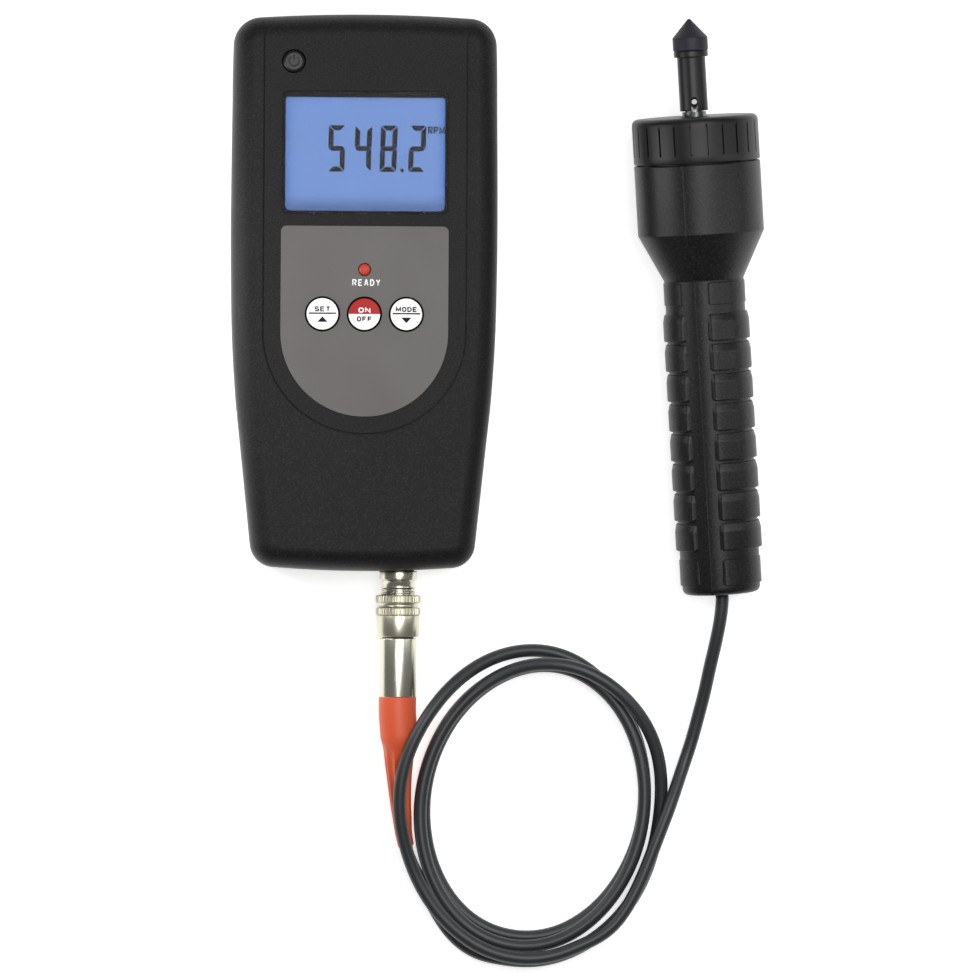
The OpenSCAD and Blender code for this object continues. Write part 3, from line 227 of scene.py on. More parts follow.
def coil_point(angle):
    k = (angle - COIL_FROM) / COIL_STEP
    i = min(int(k + 1e-4), len(COIL_OUT_SHARE) - 2)
    out = LAY_PITCH * smooth_value(COIL_OUT_SHARE, i, k - i)
    up = LAY_PITCH * max(smooth_value(COIL_UP_SHARE, i, k - i), 0)
    a, lean = math.radians(angle), math.radians(COIL_LEAN)
    x, y = -(COIL_A + out) * math.sin(a), -(COIL_B + out) * math.cos(a)
    return Vector((COIL_CENTRE[0] + x * math.cos(lean) + y * math.sin(lean),
                   COIL_CENTRE[1] - x * math.sin(lean) + y * math.cos(lean), CORD_Z + up))


def cord_line():
    coil_to = COIL_FROM + COIL_STEP * (len(COIL_OUT_SHARE) - 1)
    coarse = [coil_point(COIL_FROM + 15 * k) for k in range(int((coil_to - COIL_FROM) / 15) + 1)]
    head = (3 * coarse[0] - 4 * coarse[1] + coarse[2]).normalized() * CORD_D
    tail = (3 * coarse[-1] - 4 * coarse[-2] + coarse[-3]).normalized() * CORD_D
    loop = [coil_point(COIL_FROM + 5 * k) for k in range(int((coil_to - COIL_FROM) / 5) + 1)]
    way = (Vector(BOOT_LINE[-1]) - Vector(BOOT_LINE[-2])).normalized() * CORD_D
    first = smooth_path([BUTT, BUTT - PROBE_AXIS * CORD_D, *PROBE_LINE,
                         loop[0] + 2 * head, loop[0] + head], 6)
    last = smooth_path([loop[-1] + tail, loop[-1] + 2 * tail, *SHORT_LINE,
                        Vector(BOOT_LINE[-1]) + way, BOOT_LINE[-1]], 6)
    return relaxed(evened(first + loop + last, CORD_SPACING), 6)


# Forms, drawn in millimetres

def piece(name, bm, material=None, body=None, replaced=(), matrix=None, smooth=True):
    """Makes an object of a form in millimetres, on its body and in place of the CAD nodes named."""
    if matrix is not None:
        bmesh.ops.transform(bm, matrix=matrix, verts=bm.verts)
    bmesh.ops.scale(bm, vec=Vector((MM, MM, MM)), verts=bm.verts)
    bmesh.ops.remove_doubles(bm, verts=bm.verts, dist=DOUBLES)
    bmesh.ops.recalc_face_normals(bm, faces=bm.faces)
    for face in bm.faces:
        face.smooth = smooth
    mesh = bpy.data.meshes.new(name)
    bm.to_mesh(mesh)
    bm.free()
    if material:
        mesh.materials.append(materials[material])
    obj = bpy.data.objects.new(name, mesh)
    scene.collection.objects.link(obj)
    if body:
        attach(obj, body)
        if replaced:
            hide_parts(*replaced)
    return obj


def edged(obj, width, segments=3, angle=32):
    """Rounds an object's sharp edges and keeps its flat faces flat."""
    bevel = obj.modifiers.new("edges", "BEVEL")
    bevel.width = width * MM
    bevel.segments = segments
    bevel.limit_method = "ANGLE"
    bevel.angle_limit = math.radians(angle)
    bevel.use_clamp_overlap = True
    even = obj.modifiers.new("even", "WEIGHTED_NORMAL")
    even.keep_sharp = True


def chain(bm, points, closed=True):
    """Draws edges from point to point, and gives back their vertices."""
    verts = [bm.verts.new(p) for p in points]
    for pair in zip(verts, verts[1:] + verts[:1] if closed else verts[1:]):
        bm.edges.new(pair)
    return verts


def loop_of(bm, verts):
    """The edges that run round a closed line of vertices."""
    return [bm.edges.get(pair) for pair in zip(verts, verts[1:] + verts[:1])]


def skinned(rings, closed=False, into=None):
    """Extrudes a closed line from ring to ring. Its ends are capped, or meet where it closes."""
    bm = bmesh.new() if into is None else into
    verts = chain(bm, rings[0])
    first = loop_of(bm, verts)
    for ring in rings[1:] + (rings[:1] if closed else []):
        grown = set(bmesh.ops.extrude_edge_only(bm, edges=loop_of(bm, verts))["geom"])
        verts = [next(e.other_vert(v) for e in v.link_edges if e.other_vert(v) in grown) for v in verts]
        for v, place in zip(verts, ring):
            v.co = place
    if not closed:
        bmesh.ops.edgeloop_fill(bm, edges=first)
        bmesh.ops.edgeloop_fill(bm, edges=loop_of(bm, verts))
    return bm


def prism(points, z0, z1, into=None):
    """A flat outline extruded from one height to another."""
    bm = bmesh.new() if into is None else into
    face = bm.faces.new([bm.verts.new((x, y, z0)) for x, y in points])
    grown = bmesh.ops.extrude_face_region(bm, geom=[face])["geom"]
    top = [v for v in grown if isinstance(v, bmesh.types.BMVert)]
    bmesh.ops.translate(bm, vec=Vector((0, 0, z1 - z0)), verts=top)
    return bm


def rim(inner, outer, z0, z1):
    """The flat ring between two outlines of equal count, from one height to another."""
    section = ((inner, z0), (outer, z0), (outer, z1), (inner, z1))
    return skinned([[(x, y, z) for x, y in line] for line, z in section], closed=True)


def spun(profile, steps=96, radius=None, start=0.0, sweep=360.0):
    """A profile of (r, z) points spun about z. radius(r, z, angle) may shift a point."""
    on_axis = max(profile[0][0], profile[-1][0]) < DOUBLES
    whole = sweep >= 360
    bm = bmesh.new()
    chain(bm, [(r, 0, z) for r, z in profile], closed=not on_axis)
    turn = Matrix.Rotation(math.radians(start), 3, "Z")
    bmesh.ops.rotate(bm, verts=bm.verts, cent=(0, 0, 0), matrix=turn)
    bmesh.ops.spin(bm, geom=bm.verts[:] + bm.edges[:], cent=(0, 0, 0), axis=(0, 0, 1), dvec=(0, 0, 0),
                   angle=math.radians(sweep), steps=steps, use_merge=whole)
    if not whole:
        bmesh.ops.holes_fill(bm, edges=[e for e in bm.edges if len(e.link_faces) == 1], sides=len(profile))
    if radius:
        for v in bm.verts:
            r = v.co.xy.length
            v.co.xy *= radius(r, v.co.z, math.atan2(v.co.y, v.co.x)) / r
    return bm


def turned(name, profile, material, body, replaced=(), matrix=None, steps=96, radius=None):
    """A turned piece: its profile runs from axis to axis, or closes on itself."""
    return piece(name, spun(profile, steps, radius), material, body, replaced, matrix)


def frames(path):
    """A square frame at each point of a line, carried along without twist."""
    after, before = path[1:] + path[-1:], path[:1] + path[:-1]
    tangents = [(b - a).normalized() for a, b in zip(before, after)]
    side = tangents[0].cross(Vector((0, 0, 1))).normalized()
    out = []
    for t in tangents:
        side = (side - t * side.dot(t)).normalized()
        out.append((side, t.cross(side).normalized()))
    return out


def tube(path, radius, sides):
    """A round tube along a line. radius(i, angle) gives its radius at point i."""
    rings = []
    for i, (p, (u, v)) in enumerate(zip(path, frames(path))):
        ring = []
        for k in range(sides):
            a = 2 * math.pi * k / sides
            ring.append(p + (u * math.cos(a) + v * math.sin(a)) * radius(i, a))
        rings.append(ring)
    return skinned(rings)


def half_outline(inset):
    """Half of the case's outline, from the lower middle to the upper middle."""
    far, wide = CASE_L / 2 - inset, CASE_W / 2
    wt, wl = wide * TOP_W_SHARE - inset, wide * LOW_W_SHARE - inset
    rt, rl = max(CORNER_R - inset, LEAST_R), max(CORNER_LOW_R - inset, LEAST_R)
    low = [((wl - rl) * k / 8, -far + CROWN * (k / 8) ** 2) for k in range(8)]
    low_arc = arc(wl - rl, -far + CROWN + rl, rl, -86, -6, 14)
    top_arc = arc(wt - rt, far - CROWN - rt, rt, 2, 86, 14)
    top = [((wt - rt) * k / 8, far - CROWN * (k / 8) ** 2) for k in range(7, -1, -1)]
    knots = [(low_arc[-1][1], low_arc[-1][0])]
    knots += [(CASE_L * y, wide * x - inset) for y, x in zip(SIDE_Y_SHARE, SIDE_W_SHARE)]
    knots += [(top_arc[0][1], top_arc[0][0])]
    slopes = [math.tan(math.radians(6))]
    for i in range(1, len(knots) - 1):
        slopes.append((knots[i + 1][1] - knots[i - 1][1]) / (knots[i + 1][0] - knots[i - 1][0]))
    slopes.append(-math.tan(math.radians(2)))
    side = []
    for i in range(len(knots) - 1):
        (y0, x0), (y1, x1) = knots[i], knots[i + 1]
        h = y1 - y0
        for k in range(5):
            f = k / 5
            x = ((1 + 2 * f) * (1 - f) ** 2 * x0 + f * (1 - f) ** 2 * h * slopes[i]
                 + f * f * (3 - 2 * f) * x1 + f * f * (f - 1) * h * slopes[i + 1])
            side.append((x, y0 + h * f))
    return low + low_arc[:-1] + side + top_arc + top


def outline(inset):
    """The case's whole outline, drawn in by an inset."""
    half = half_outline(inset)
    return half + [(-x, y) for x, y in reversed(half[1:-1])]


def lofted(heights, insets):
    """The case's outline carried through heights, with an inset at each."""
    return skinned([[(x, y, z) for x, y in outline(i)] for z, i in zip(heights, insets)])


def front_form(top, fall, inset):
    """The case's front from the split line up: straight walls, then the fall of its edge."""
    turn = [math.radians(90 * k / 22) for k in range(23)]
    start = [SPLIT_Z - 0.5] if inset > 0 else [SPLIT_Z, SPLIT_Z + 0.25]
    first = [inset] if inset > 0 else [0.18, 0.0]
    return lofted(start + [top - fall + fall * math.sin(a) for a in turn],
                  first + [inset + DRAFT + (FRONT_ROUND - inset * 0.5) * (1 - math.cos(a)) for a in turn])


def d_outline(w, top, corner=0.0):
    """The D shape of the panel and the overlay, straight above and round below."""
    r = w / 2
    low = arc(0, DOME_Y, r, 180, 360, 96)
    if corner <= 0:
        return low + [(r, top), (-r, top)]
    return (low + arc(r - corner, top - corner, corner, 0, 90, 8)
            + arc(-r + corner, top - corner, corner, 90, 180, 8))


def rounded_rectangle(w, h, r, cy=0.0):
    x, y = w / 2 - r, h / 2 - r
    return (arc(x, cy + y, r, 0, 90, 10) + arc(-x, cy + y, r, 90, 180, 10)
            + arc(-x, cy - y, r, 180, 270, 10) + arc(x, cy - y, r, 270, 360, 10))


def disc(x, y, r, steps=72):
    return [(x + r * math.cos(2 * math.pi * k / steps), y + r * math.sin(2 * math.pi * k / steps))
            for k in range(steps)]


def cut_by(obj, tools, operation="DIFFERENCE"):
    """Cuts or joins an object with closed forms or other objects, one by one, and keeps the result."""
    for tool in tools:
        if isinstance(tool, bmesh.types.BMesh):
            tool = piece("tool", tool)
        modifier = obj.modifiers.new("cut", "BOOLEAN")
        modifier.solver = "EXACT"
        modifier.operation = operation
        modifier.object = tool
        bpy.context.view_layer.update()
        old, name = obj.data, obj.data.name
        cut = bpy.data.meshes.new_from_object(obj.evaluated_get(bpy.context.evaluated_depsgraph_get()))
        obj.modifiers.clear()
        obj.data = cut
        spent = tool.data
        bpy.data.objects.remove(tool)
        for mesh in (old, spent):
            bpy.data.meshes.remove(mesh)
        cut.name = name
    for face in obj.data.polygons:
        face.use_smooth = True
    return obj


# Materials

def linear(code, alpha=1.0):
    """An sRGB hex colour as Blender's linear colour."""
    channels = [int(code[i:i + 2], 16) / 255 for i in (1, 3, 5)]
    return (*[c / 12.92 if c <= 0.04045 else ((c + 0.055) / 1.055) ** 2.4 for c in channels], alpha)


def add(tree, kind, values=(), links=(), **settings):
    """Adds one shader node with its settings, values and links. A Mix node's colours are inputs 6 and 7."""
    node = tree.nodes.new("ShaderNode" + kind)
    for key, value in settings.items():
        setattr(node, key, value)
    for key, value in dict(values).items():
        node.inputs[key].default_value = value
    for key, source in dict(links).items():
        tree.links.new(source, node.inputs[key])
    return node


def blank(name):
    material = bpy.data.materials.new(name)
    material.use_nodes = True
    material.node_tree.nodes.clear()
    return material, material.node_tree


def surface(name, code, roughness, grain=0.4, relief=0.02, tone=0.12, spread=0.06, stretch=(1, 1, 1),
            broad=18.0, fleck=None, **fixed):
    """A material with fine grain, slow changes of tone and of gloss, all in real millimetres."""
    material, tree = blank(name)
    place = add(tree, "TexCoord").outputs["Object"]
    scaled = add(tree, "Mapping", {"Scale": stretch}, {"Vector": place})
    fine = add(tree, "TexNoise", {"Scale": 1 / (grain * MM), "Detail": 3.0, "Roughness": 0.6},
               {"Vector": scaled.outputs[0]})
    slow = add(tree, "TexNoise", {"Scale": 1 / (broad * MM), "Detail": 2.0}, {"Vector": place})
    both = add(tree, "Math", {2: 0.25}, {0: fine.outputs[0], 1: slow.outputs[0]}, operation="MULTIPLY_ADD")
    dark, light = [tuple(min(c * f, 1) for c in linear(code)[:3]) + (1,) for f in (1 - tone, 1 + tone)]
    shade = add(tree, "Mix", {6: dark, 7: light}, {0: both.outputs[0]}, data_type="RGBA")
    if fleck:
        speck = add(tree, "MapRange", {"From Min": 0.5, "From Max": 0.8}, {"Value": fine.outputs[0]})
        shade = add(tree, "Mix", {7: linear(fleck)}, {0: speck.outputs[0], 6: shade.outputs[2]},
                    data_type="RGBA")
    gloss = add(tree, "MapRange", {"To Min": roughness - spread, "To Max": roughness + spread},
                {"Value": slow.outputs[0]})
    bump = add(tree, "Bump", {"Strength": 1.0, "Distance": relief * MM}, {"Height": fine.outputs[0]})
    shader = add(tree, "BsdfPrincipled", fixed,
                 {"Base Color": shade.outputs[2], "Roughness": gloss.outputs[0], "Normal": bump.outputs[0]})
    add(tree, "OutputMaterial", (), {"Surface": shader.outputs[0]})
    return material


def build_materials():
    made = {}
    # ABS of the meter, moulded in a spark-eroded tool: fine pimples with pale flecks, and a low sheen.
    # Real pimples of this kind are finer. They are drawn 0.4 mm across, so that they show.
    made["case"] = surface("abs_spark_grain_moulded", "#121213", 0.5, grain=0.4, relief=0.09, tone=0.3,
                           fleck="#2f2f30", **{"Specular IOR Level": 0.17})
    # the same ABS on the small inner pieces, moulded smooth: even satin black without pimples
    made["case_plain"] = surface("abs_satin_moulded", "#121213", 0.45, grain=0.6, relief=0.008)
    # ABS of the probe housing, from a stoned tool: a shallower grain and more gloss than the case.
    # This grain too is drawn coarser than the real one, so that it shows.
    made["probe"] = surface("abs_stoned_satin_moulded", "#0e0e0f", 0.38, grain=0.5, relief=0.05, tone=0.3,
                            fleck="#2f2f30", **{"Specular IOR Level": 0.27})
    # acetal of the adapter cap, turned: waxy satin black, with soft highlights along its grooves
    made["cap"] = surface("acetal_turned_satin", "#121213", 0.4, grain=0.5, relief=0.015, tone=0.2,
                          **{"Specular IOR Level": 0.3})
    # polycarbonate film of the overlay, screen printed on its back: flat warm grey with a fine matt tooth
    made["overlay"] = surface("polycarbonate_film_screen_printed", "#4a4644", 0.42, grain=0.12,
                              relief=0.003, tone=0.04)
    # black ABS of the standby key and the chopper disc: dull black, faintly grained
    made["key_black"] = surface("abs_black_two_shot", "#111112", 0.46, grain=0.42, relief=0.03, tone=0.2)
    # pad-printed legends: thin matt ink, black and white, with clean edges
    made["ink_black"] = surface("ink_black_pad_printed", "#0b0b0b", 0.5, grain=0.1, relief=0.001, tone=0.1,
                                **{"Specular IOR Level": 0.15})
    made["ink_white"] = surface("ink_white_pad_printed", "#f6f6f4", 0.5, grain=0.1, relief=0.001, tone=0.02)
    # liquid crystal segments: near black, with hardly any shine of their own
    made["segment"] = surface("liquid_crystal_segment", "#0c0d12", 0.5, grain=0.2, relief=0.0, tone=0.04,
                              **{"Specular IOR Level": 0.2})
    # brass, turned and nickel plated: warm bright metal, its gloss drawn out in fine turning marks
    made["nickel"] = surface("brass_nickel_plated_turned", "#d6d3c2", 0.24, grain=0.25, relief=0.002,
                             tone=0.05, spread=0.04, stretch=(0.1, 1.6, 0.1), Metallic=1.0)
    # the same plating over the knurl: duller, since the tool has left it coarser
    made["nickel_knurled"] = surface("brass_nickel_plated_knurled", "#d2ceb9", 0.3, grain=0.3,
                                     relief=0.006, tone=0.08, Metallic=1.0)
    # screws of zinc-plated steel: pale grey, a little cloudy
    made["steel"] = surface("steel_zinc_plated", "#a9acae", 0.3, grain=0.3, relief=0.003, tone=0.1,
                            Metallic=1.0)
    # shaft, pin and bearings of ground steel: darker, with a fine even gloss
    made["ground"] = surface("steel_ground", "#737474", 0.34, grain=0.2, relief=0.002, tone=0.05,
                             Metallic=1.0)
    # spacer of turned aluminium: light grey and softly bright
    made["alloy"] = surface("aluminium_turned", "#b4b6b8", 0.3, grain=0.3, relief=0.002, Metallic=1.0)
    # soft PVC of the boot, moulded over the plug: full orange-red with a rubbery, broad highlight
    made["boot"] = surface("pvc_boot_over_moulded", "#db5a33", 0.45, grain=0.9, relief=0.006, tone=0.08)
    # PVC sheath of the cord, extruded: dark grey, smooth, with a long soft highlight
    made["cord"] = surface("pvc_sheath_extruded", "#2a2c2f", 0.42, grain=0.7, relief=0.01, tone=0.14)
    # aluminium sleeve of the tip, turned and anodised black: dark with a metal sheen
    made["sleeve"] = surface("aluminium_black_anodised_turned", "#242426", 0.36, grain=0.25, relief=0.003,
                             Metallic=0.6)
    # rubber of the cone, pressed in a matt mould: bluish black with only a faint, wide highlight
    made["tip"] = surface("rubber_moulded_matt", "#08051a", 0.55, grain=0.5, relief=0.01, tone=0.12)
    # glass-fibre boards under solder mask: green with a soft gloss
    made["board"] = surface("glass_fibre_solder_mask", "#2f6b45", 0.35, grain=0.8, relief=0.004)
    # shrink wrap of the cells: tight, shiny, straw coloured
    made["cell"] = surface("cell_shrink_wrap", "#a08a4a", 0.25, grain=2.0, relief=0.001, tone=0.05)
    # epoxy bodies of the light gate, cast: clear pink for the source, smoky for the receiver
    made["emitter"] = surface("epoxy_clear_pink", "#d9a0a0", 0.15, grain=1.0, relief=0.0)
    made["receiver"] = surface("epoxy_dark", "#3a3340", 0.15, grain=1.0, relief=0.0)
    # acrylic sensor window, polished: dark red and glossy
    made["filter"] = surface("acrylic_tinted_polished", "#7a4a4a", 0.1, grain=2.0, relief=0.0)
    # polycarbonate light guide, milky: pale and even
    made["guide"] = surface("polycarbonate_milky", "#e8eefb", 0.4, grain=1.0, relief=0.0, tone=0.02)
    # white paper on a light table, lit a little from below: plain white with faint shadows
    made["floor"] = surface("paper_white_smooth", "#f2f2f1", 0.85, grain=2.0, relief=0.0, tone=0.003,
                            spread=0.02, **{"Emission Color": linear("#ffffff"), "Emission Strength": 0.6})
    # polycarbonate of the signal lamp, moulded with a diffuser in it: even red, faintly lit
    made["lamp"] = surface("polycarbonate_red_diffusing", "#b23a2c", 0.45, grain=0.5, relief=0.002,
                           tone=0.05, **{"Specular IOR Level": 0.3, "Emission Strength": 0.06,
                           "Emission Color": linear("#e0503a")})
    made["key_split"] = key_face("abs_red_and_white_two_shot", "#a8100b")
    made["key_white"] = key_face("abs_white_two_shot", "#fbfbfa")
    made["lcd"] = backlit()
    made["window"] = window_clear()
    return made


def key_face(name, upper_colour):
    """Two-shot key: a pale face, its upper half perhaps red, on a black skirt."""
    material, tree = blank(name)
    place = add(tree, "TexCoord").outputs["Object"]
    apart = add(tree, "SeparateXYZ", (), {0: place})
    upper = add(tree, "Math", {1: KEY_Y * MM}, {0: apart.outputs[1]}, operation="GREATER_THAN")
    halves = add(tree, "Mix", {6: linear("#fbfbfa"), 7: linear(upper_colour)}, {0: upper.outputs[0]},
                 data_type="RGBA")
    face_z = (KEY_TOP - KEY_FACE_DEPTH) * MM
    faced = add(tree, "Math", {1: face_z}, {0: apart.outputs[2]}, operation="GREATER_THAN")
    colour = add(tree, "Mix", {6: linear("#0c0c0c")}, {0: faced.outputs[0], 7: halves.outputs[2]},
                 data_type="RGBA")
    fine = add(tree, "TexNoise", {"Scale": 1 / (0.5 * MM), "Detail": 2.0}, {"Vector": place})
    bump = add(tree, "Bump", {"Strength": 1.0, "Distance": 0.002 * MM}, {"Height": fine.outputs[0]})
    shader = add(tree, "BsdfPrincipled", {"Roughness": 0.4, "Specular IOR Level": 0.2},
                 {"Base Color": colour.outputs[2], "Normal": bump.outputs[0]})
    add(tree, "OutputMaterial", (), {"Surface": shader.outputs[0]})
    return material


def backlit():
    """Blue backlit display: even in the middle, darker towards its edges and at the foot, as painted shade of
    the recess round it.
    """
    material, tree = blank("display_glass_backlit_blue")
    place = add(tree, "TexCoord").outputs["Object"]
    apart = add(tree, "SeparateXYZ", (), {0: place})
    wide, high = WINDOW_W / 2 - LEDGE, WINDOW_H / 2 - LEDGE
    # painted shade: the glow is dimmed towards the edges, where the walls of the recessed window shade it
    painted_edge_shades = []
    for axis, centre, half, reach in ((0, 0.0, wide, 2.6), (1, WINDOW_Y, high, 2.2)):
        off = add(tree, "Math", {1: centre * MM}, {0: apart.outputs[axis]}, operation="SUBTRACT")
        size = add(tree, "Math", (), {0: off.outputs[0]}, operation="ABSOLUTE")
        painted_edge_shades.append(add(tree, "MapRange", {"From Min": (half - reach) * MM, "From Max": (half + 0.4) * MM,
                                            "To Min": 1.0, "To Max": 0.0}, {"Value": size.outputs[0]},
                         interpolation_type="SMOOTHSTEP"))
    # painted shade: the glow is dimmed again at the foot of the display
    foot_y = WINDOW_Y - high
    foot = add(tree, "MapRange", {"From Min": foot_y * MM, "From Max": (foot_y + 5.0) * MM},
               {"Value": apart.outputs[1]}, interpolation_type="SMOOTHSTEP")
    sides = add(tree, "Mix", {6: linear("#4f7ccf"), 7: linear("#7398dd")}, {0: painted_edge_shades[0].outputs[0]},
                data_type="RGBA")
    ends = add(tree, "Mix", {6: linear("#6484c4")}, {0: painted_edge_shades[1].outputs[0], 7: sides.outputs[2]},
               data_type="RGBA")
    low = add(tree, "Mix", {6: linear("#4a66a2")}, {0: foot.outputs[0], 7: ends.outputs[2]}, data_type="RGBA")
    cloud = add(tree, "TexNoise", {"Scale": 1 / (9 * MM), "Detail": 1.0}, {"Vector": place})
    level = add(tree, "MapRange", {"To Min": 0.8, "To Max": 0.86}, {"Value": cloud.outputs[0]})
    shader = add(tree, "BsdfPrincipled",
                 {"Base Color": linear("#20324f"), "Roughness": 0.4, "Specular IOR Level": 0.2},
                 {"Emission Color": low.outputs[2], "Emission Strength": level.outputs[0]})
    add(tree, "OutputMaterial", (), {"Surface": shader.outputs[0]})
    return material


def window_clear():
    """Clear polished window: it lets the display through and mirrors a little at a slant."""
    material, tree = blank("acrylic_clear_polished")
    place = add(tree, "TexCoord").outputs["Object"]
    slow = add(tree, "TexNoise", {"Scale": 1 / (12 * MM), "Detail": 1.0}, {"Vector": place})
    gloss = add(tree, "MapRange", {"To Min": 0.03, "To Max": 0.07}, {"Value": slow.outputs[0]})
    shader = add(tree, "BsdfPrincipled", {"Base Color": linear("#101114"), "Alpha": 0.06},
                 {"Roughness": gloss.outputs[0]})
    add(tree, "OutputMaterial", (), {"Surface": shader.outputs[0]})
    return material


materials = build_materials()


def dress(nodes, material, width=0.0):
    """Gives kept CAD nodes their material, joined surfaces and, where asked, soft edges."""
    for name in nodes:
        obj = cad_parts[name]
        obj.data.materials.clear()
        obj.data.materials.append(materials[material])
        weld = obj.modifiers.new("weld", "WELD")
        weld.merge_threshold = 1e-6
        if width > 0:
            edged(obj, width)


# Cord

cord_points = cord_line()
cord = piece("cord_sheath", tube(cord_points, lambda i, a: CORD_D / 2, CORD_SIDES), "cord", "probe_set",
             ("cord_short_lead", "cord_coil", "cord_probe_lead"))


# Meter case

def make_case_front():
    """The front half of the case: its raised panel, hollow inside, and all its openings."""
    case = piece("case_front", front_form(RIM_Z, FRONT_FALL, 0), "case", "meter", ("front_shell",))
    panel = piece("panel", front_form(CASE_T, FRONT_FALL + PANEL_RISE, 0))
    cut_by(panel, [prism(d_outline(PANEL_W, CASE_L), RIM_Z - FRONT_FALL * 2 / 3, ABOVE)], "INTERSECT")
    cut_by(case, [panel], "UNION")
    inside = INNER_Z - OVER
    cuts = [front_form(INNER_Z, FRONT_FALL - WALL, WALL)]
    for gap, low in ((0, WINDOW_Z), (2 * LEDGE, inside)):
        cuts.append(prism(rounded_rectangle(WINDOW_W - gap, WINDOW_H - gap, WINDOW_R, WINDOW_Y), low, ABOVE))
    cuts.append(prism(d_outline(OVERLAY_W + 2 * SEAT_GAP, OVERLAY_TOP + SEAT_GAP, OVERLAY_R + SEAT_GAP),
                      CASE_T - OVERLAY_T + SEAT_GAP, ABOVE))
    cuts.append(rim(d_outline(PANEL_W, CASE_L), d_outline(PANEL_W + 2 * PANEL_GROOVE, CASE_L),
                    RIM_Z - PANEL_GROOVE, ABOVE))
    for x in (-KEY_PITCH, 0, KEY_PITCH):
        cuts.append(prism(disc(x, KEY_Y, KEY_R + KEY_GAP), inside, ABOVE))
    cuts.append(prism(disc(STANDBY_X, STANDBY_Y, STANDBY_R + KEY_GAP), inside, ABOVE))
    cuts.append(prism(disc(0, LAMP_Y, LAMP_R + LAMP_RING), inside, ABOVE))
    edged(cut_by(case, cuts), CASE_EDGE, 2)


make_case_front()


# Display

def convex_inset(points, d):
    """A convex polygon drawn in by d."""
    n, out = len(points), []
    area = sum(a[0] * b[1] - b[0] * a[1] for a, b in zip(points, points[1:] + points[:1]))
    turn = 1 if area > 0 else -1
    lines = []
    for i in range(n):
        a, b = Vector(points[i]), Vector(points[(i + 1) % n])
        way = (b - a).normalized()
        lines.append((a + Vector((-way.y, way.x)) * d * turn, way))
    for i in range(n):
        (p, u), (q, v) = lines[i - 1], lines[i]
        cross = u.x * v.y - u.y * v.x
        t = ((q - p).x * v.y - (q - p).y * v.x) / cross
        out.append(tuple(p + u * t))
    return out


DIGIT_W, DIGIT_H, STROKE, DIGIT_GAP, SLANT = 4.7, 12.5, 1.55, 0.1, 0.03
DIGIT_LOW, DIGIT_CORNER, POINT_X, POINT_R = 31.75, 0.16, 9.75, 0.5
PRINT_T = 0.03
SEGMENTS = {"5": "afgcd", "4": "fgbc", "8": "abcdefg", "2": "abged"}
DIGIT_PLACES = (("5", -10.1), ("4", -3.1), ("8", 3.65), ("2", 11.25))


def segment_shapes():
    """The seven segments of a digit, by their usual letters."""
    w, h, t = DIGIT_W, DIGIT_H, STROKE
    m = h / 2
    left_up = ((0, h), (t, h - t), (t, m + t / 2), (0, m))
    left_low = ((0, m), (t, m - t / 2), (t, t), (0, 0))
    right_up, right_low = [[(w - x, y) for x, y in s] for s in (left_up, left_low)]
    return {"a": ((0, h), (w, h), (w - t, h - t), (t, h - t)), "d": ((0, 0), (t, t), (w - t, t), (w, 0)),
            "g": ((0, m), (t * 0.7, m + t / 2), (w - t * 0.7, m + t / 2), (w, m),
                  (w - t * 0.7, m - t / 2), (t * 0.7, m - t / 2)),
            "f": left_up, "e": left_low, "b": right_up, "c": right_low}


def make_digits():
    """The figures of the display, slanted, with their point."""
    shapes = segment_shapes()
    bm = bmesh.new()
    for digit, x in DIGIT_PLACES:
        for s in SEGMENTS[digit]:
            inner = convex_inset(shapes[s], DIGIT_GAP)
            trimmed = filleted(inner, [DIGIT_CORNER] * len(inner), 2, closed=True)
            slanted = [(x + px + py * SLANT, DIGIT_LOW + py) for px, py in trimmed]
            prism(slanted, GLASS_TOP, GLASS_TOP + PRINT_T, bm)
    prism(disc(POINT_X, DIGIT_LOW + POINT_R, POINT_R, 24), GLASS_TOP, GLASS_TOP + PRINT_T, bm)
    piece("display_segments", bm, "segment", "meter", (), smooth=False)


make_digits()


# Plain capitals as pen strokes in a unit box: each stroke its points, closed where it ends where it starts
LETTERS = {
    "A": (((0, 0), (0.42, 1), (0.58, 1), (1, 0)), ((0.18, 0.34), (0.82, 0.34))),
    "D": (((0, 0), (0, 1), (0.62, 1), (1, 0.7), (1, 0.3), (0.62, 0), (0, 0)),),
    "E": (((1, 1), (0, 1), (0, 0), (1, 0)), ((0, 0.5), (0.85, 0.5))),
    "F": (((1, 1), (0, 1), (0, 0)), ((0, 0.5), (0.85, 0.5))),
    "M": (((0, 0), (0, 1), (0.5, 0.2), (1, 1), (1, 0)),),
    "N": (((0, 0), (0, 1), (1, 0), (1, 1)),),
    "O": (((0.5, 1), (0.25, 1), (0, 0.75), (0, 0.25), (0.25, 0), (0.75, 0), (1, 0.25), (1, 0.75), (0.75, 1),
           (0.5, 1)),),
    "P": (((0, 0), (0, 1), (0.8, 1), (1, 0.86), (1, 0.6), (0.8, 0.46), (0, 0.46)),),
    "R": (((0, 0), (0, 1), (0.8, 1), (1, 0.86), (1, 0.62), (0.8, 0.48), (0, 0.48)), ((0.5, 0.48), (1, 0))),
    "S": (((1, 0.84), (0.82, 1), (0.18, 1), (0, 0.84), (0, 0.66), (0.18, 0.53), (0.82, 0.47), (1, 0.34),
           (1, 0.16), (0.82, 0), (0.18, 0), (0, 0.16)),),
    "T": (((0, 1), (1, 1)), ((0.5, 1), (0.5, 0))),
    "Y": (((0, 1), (0.5, 0.45), (1, 1)), ((0.5, 0.45), (0.5, 0))),
}


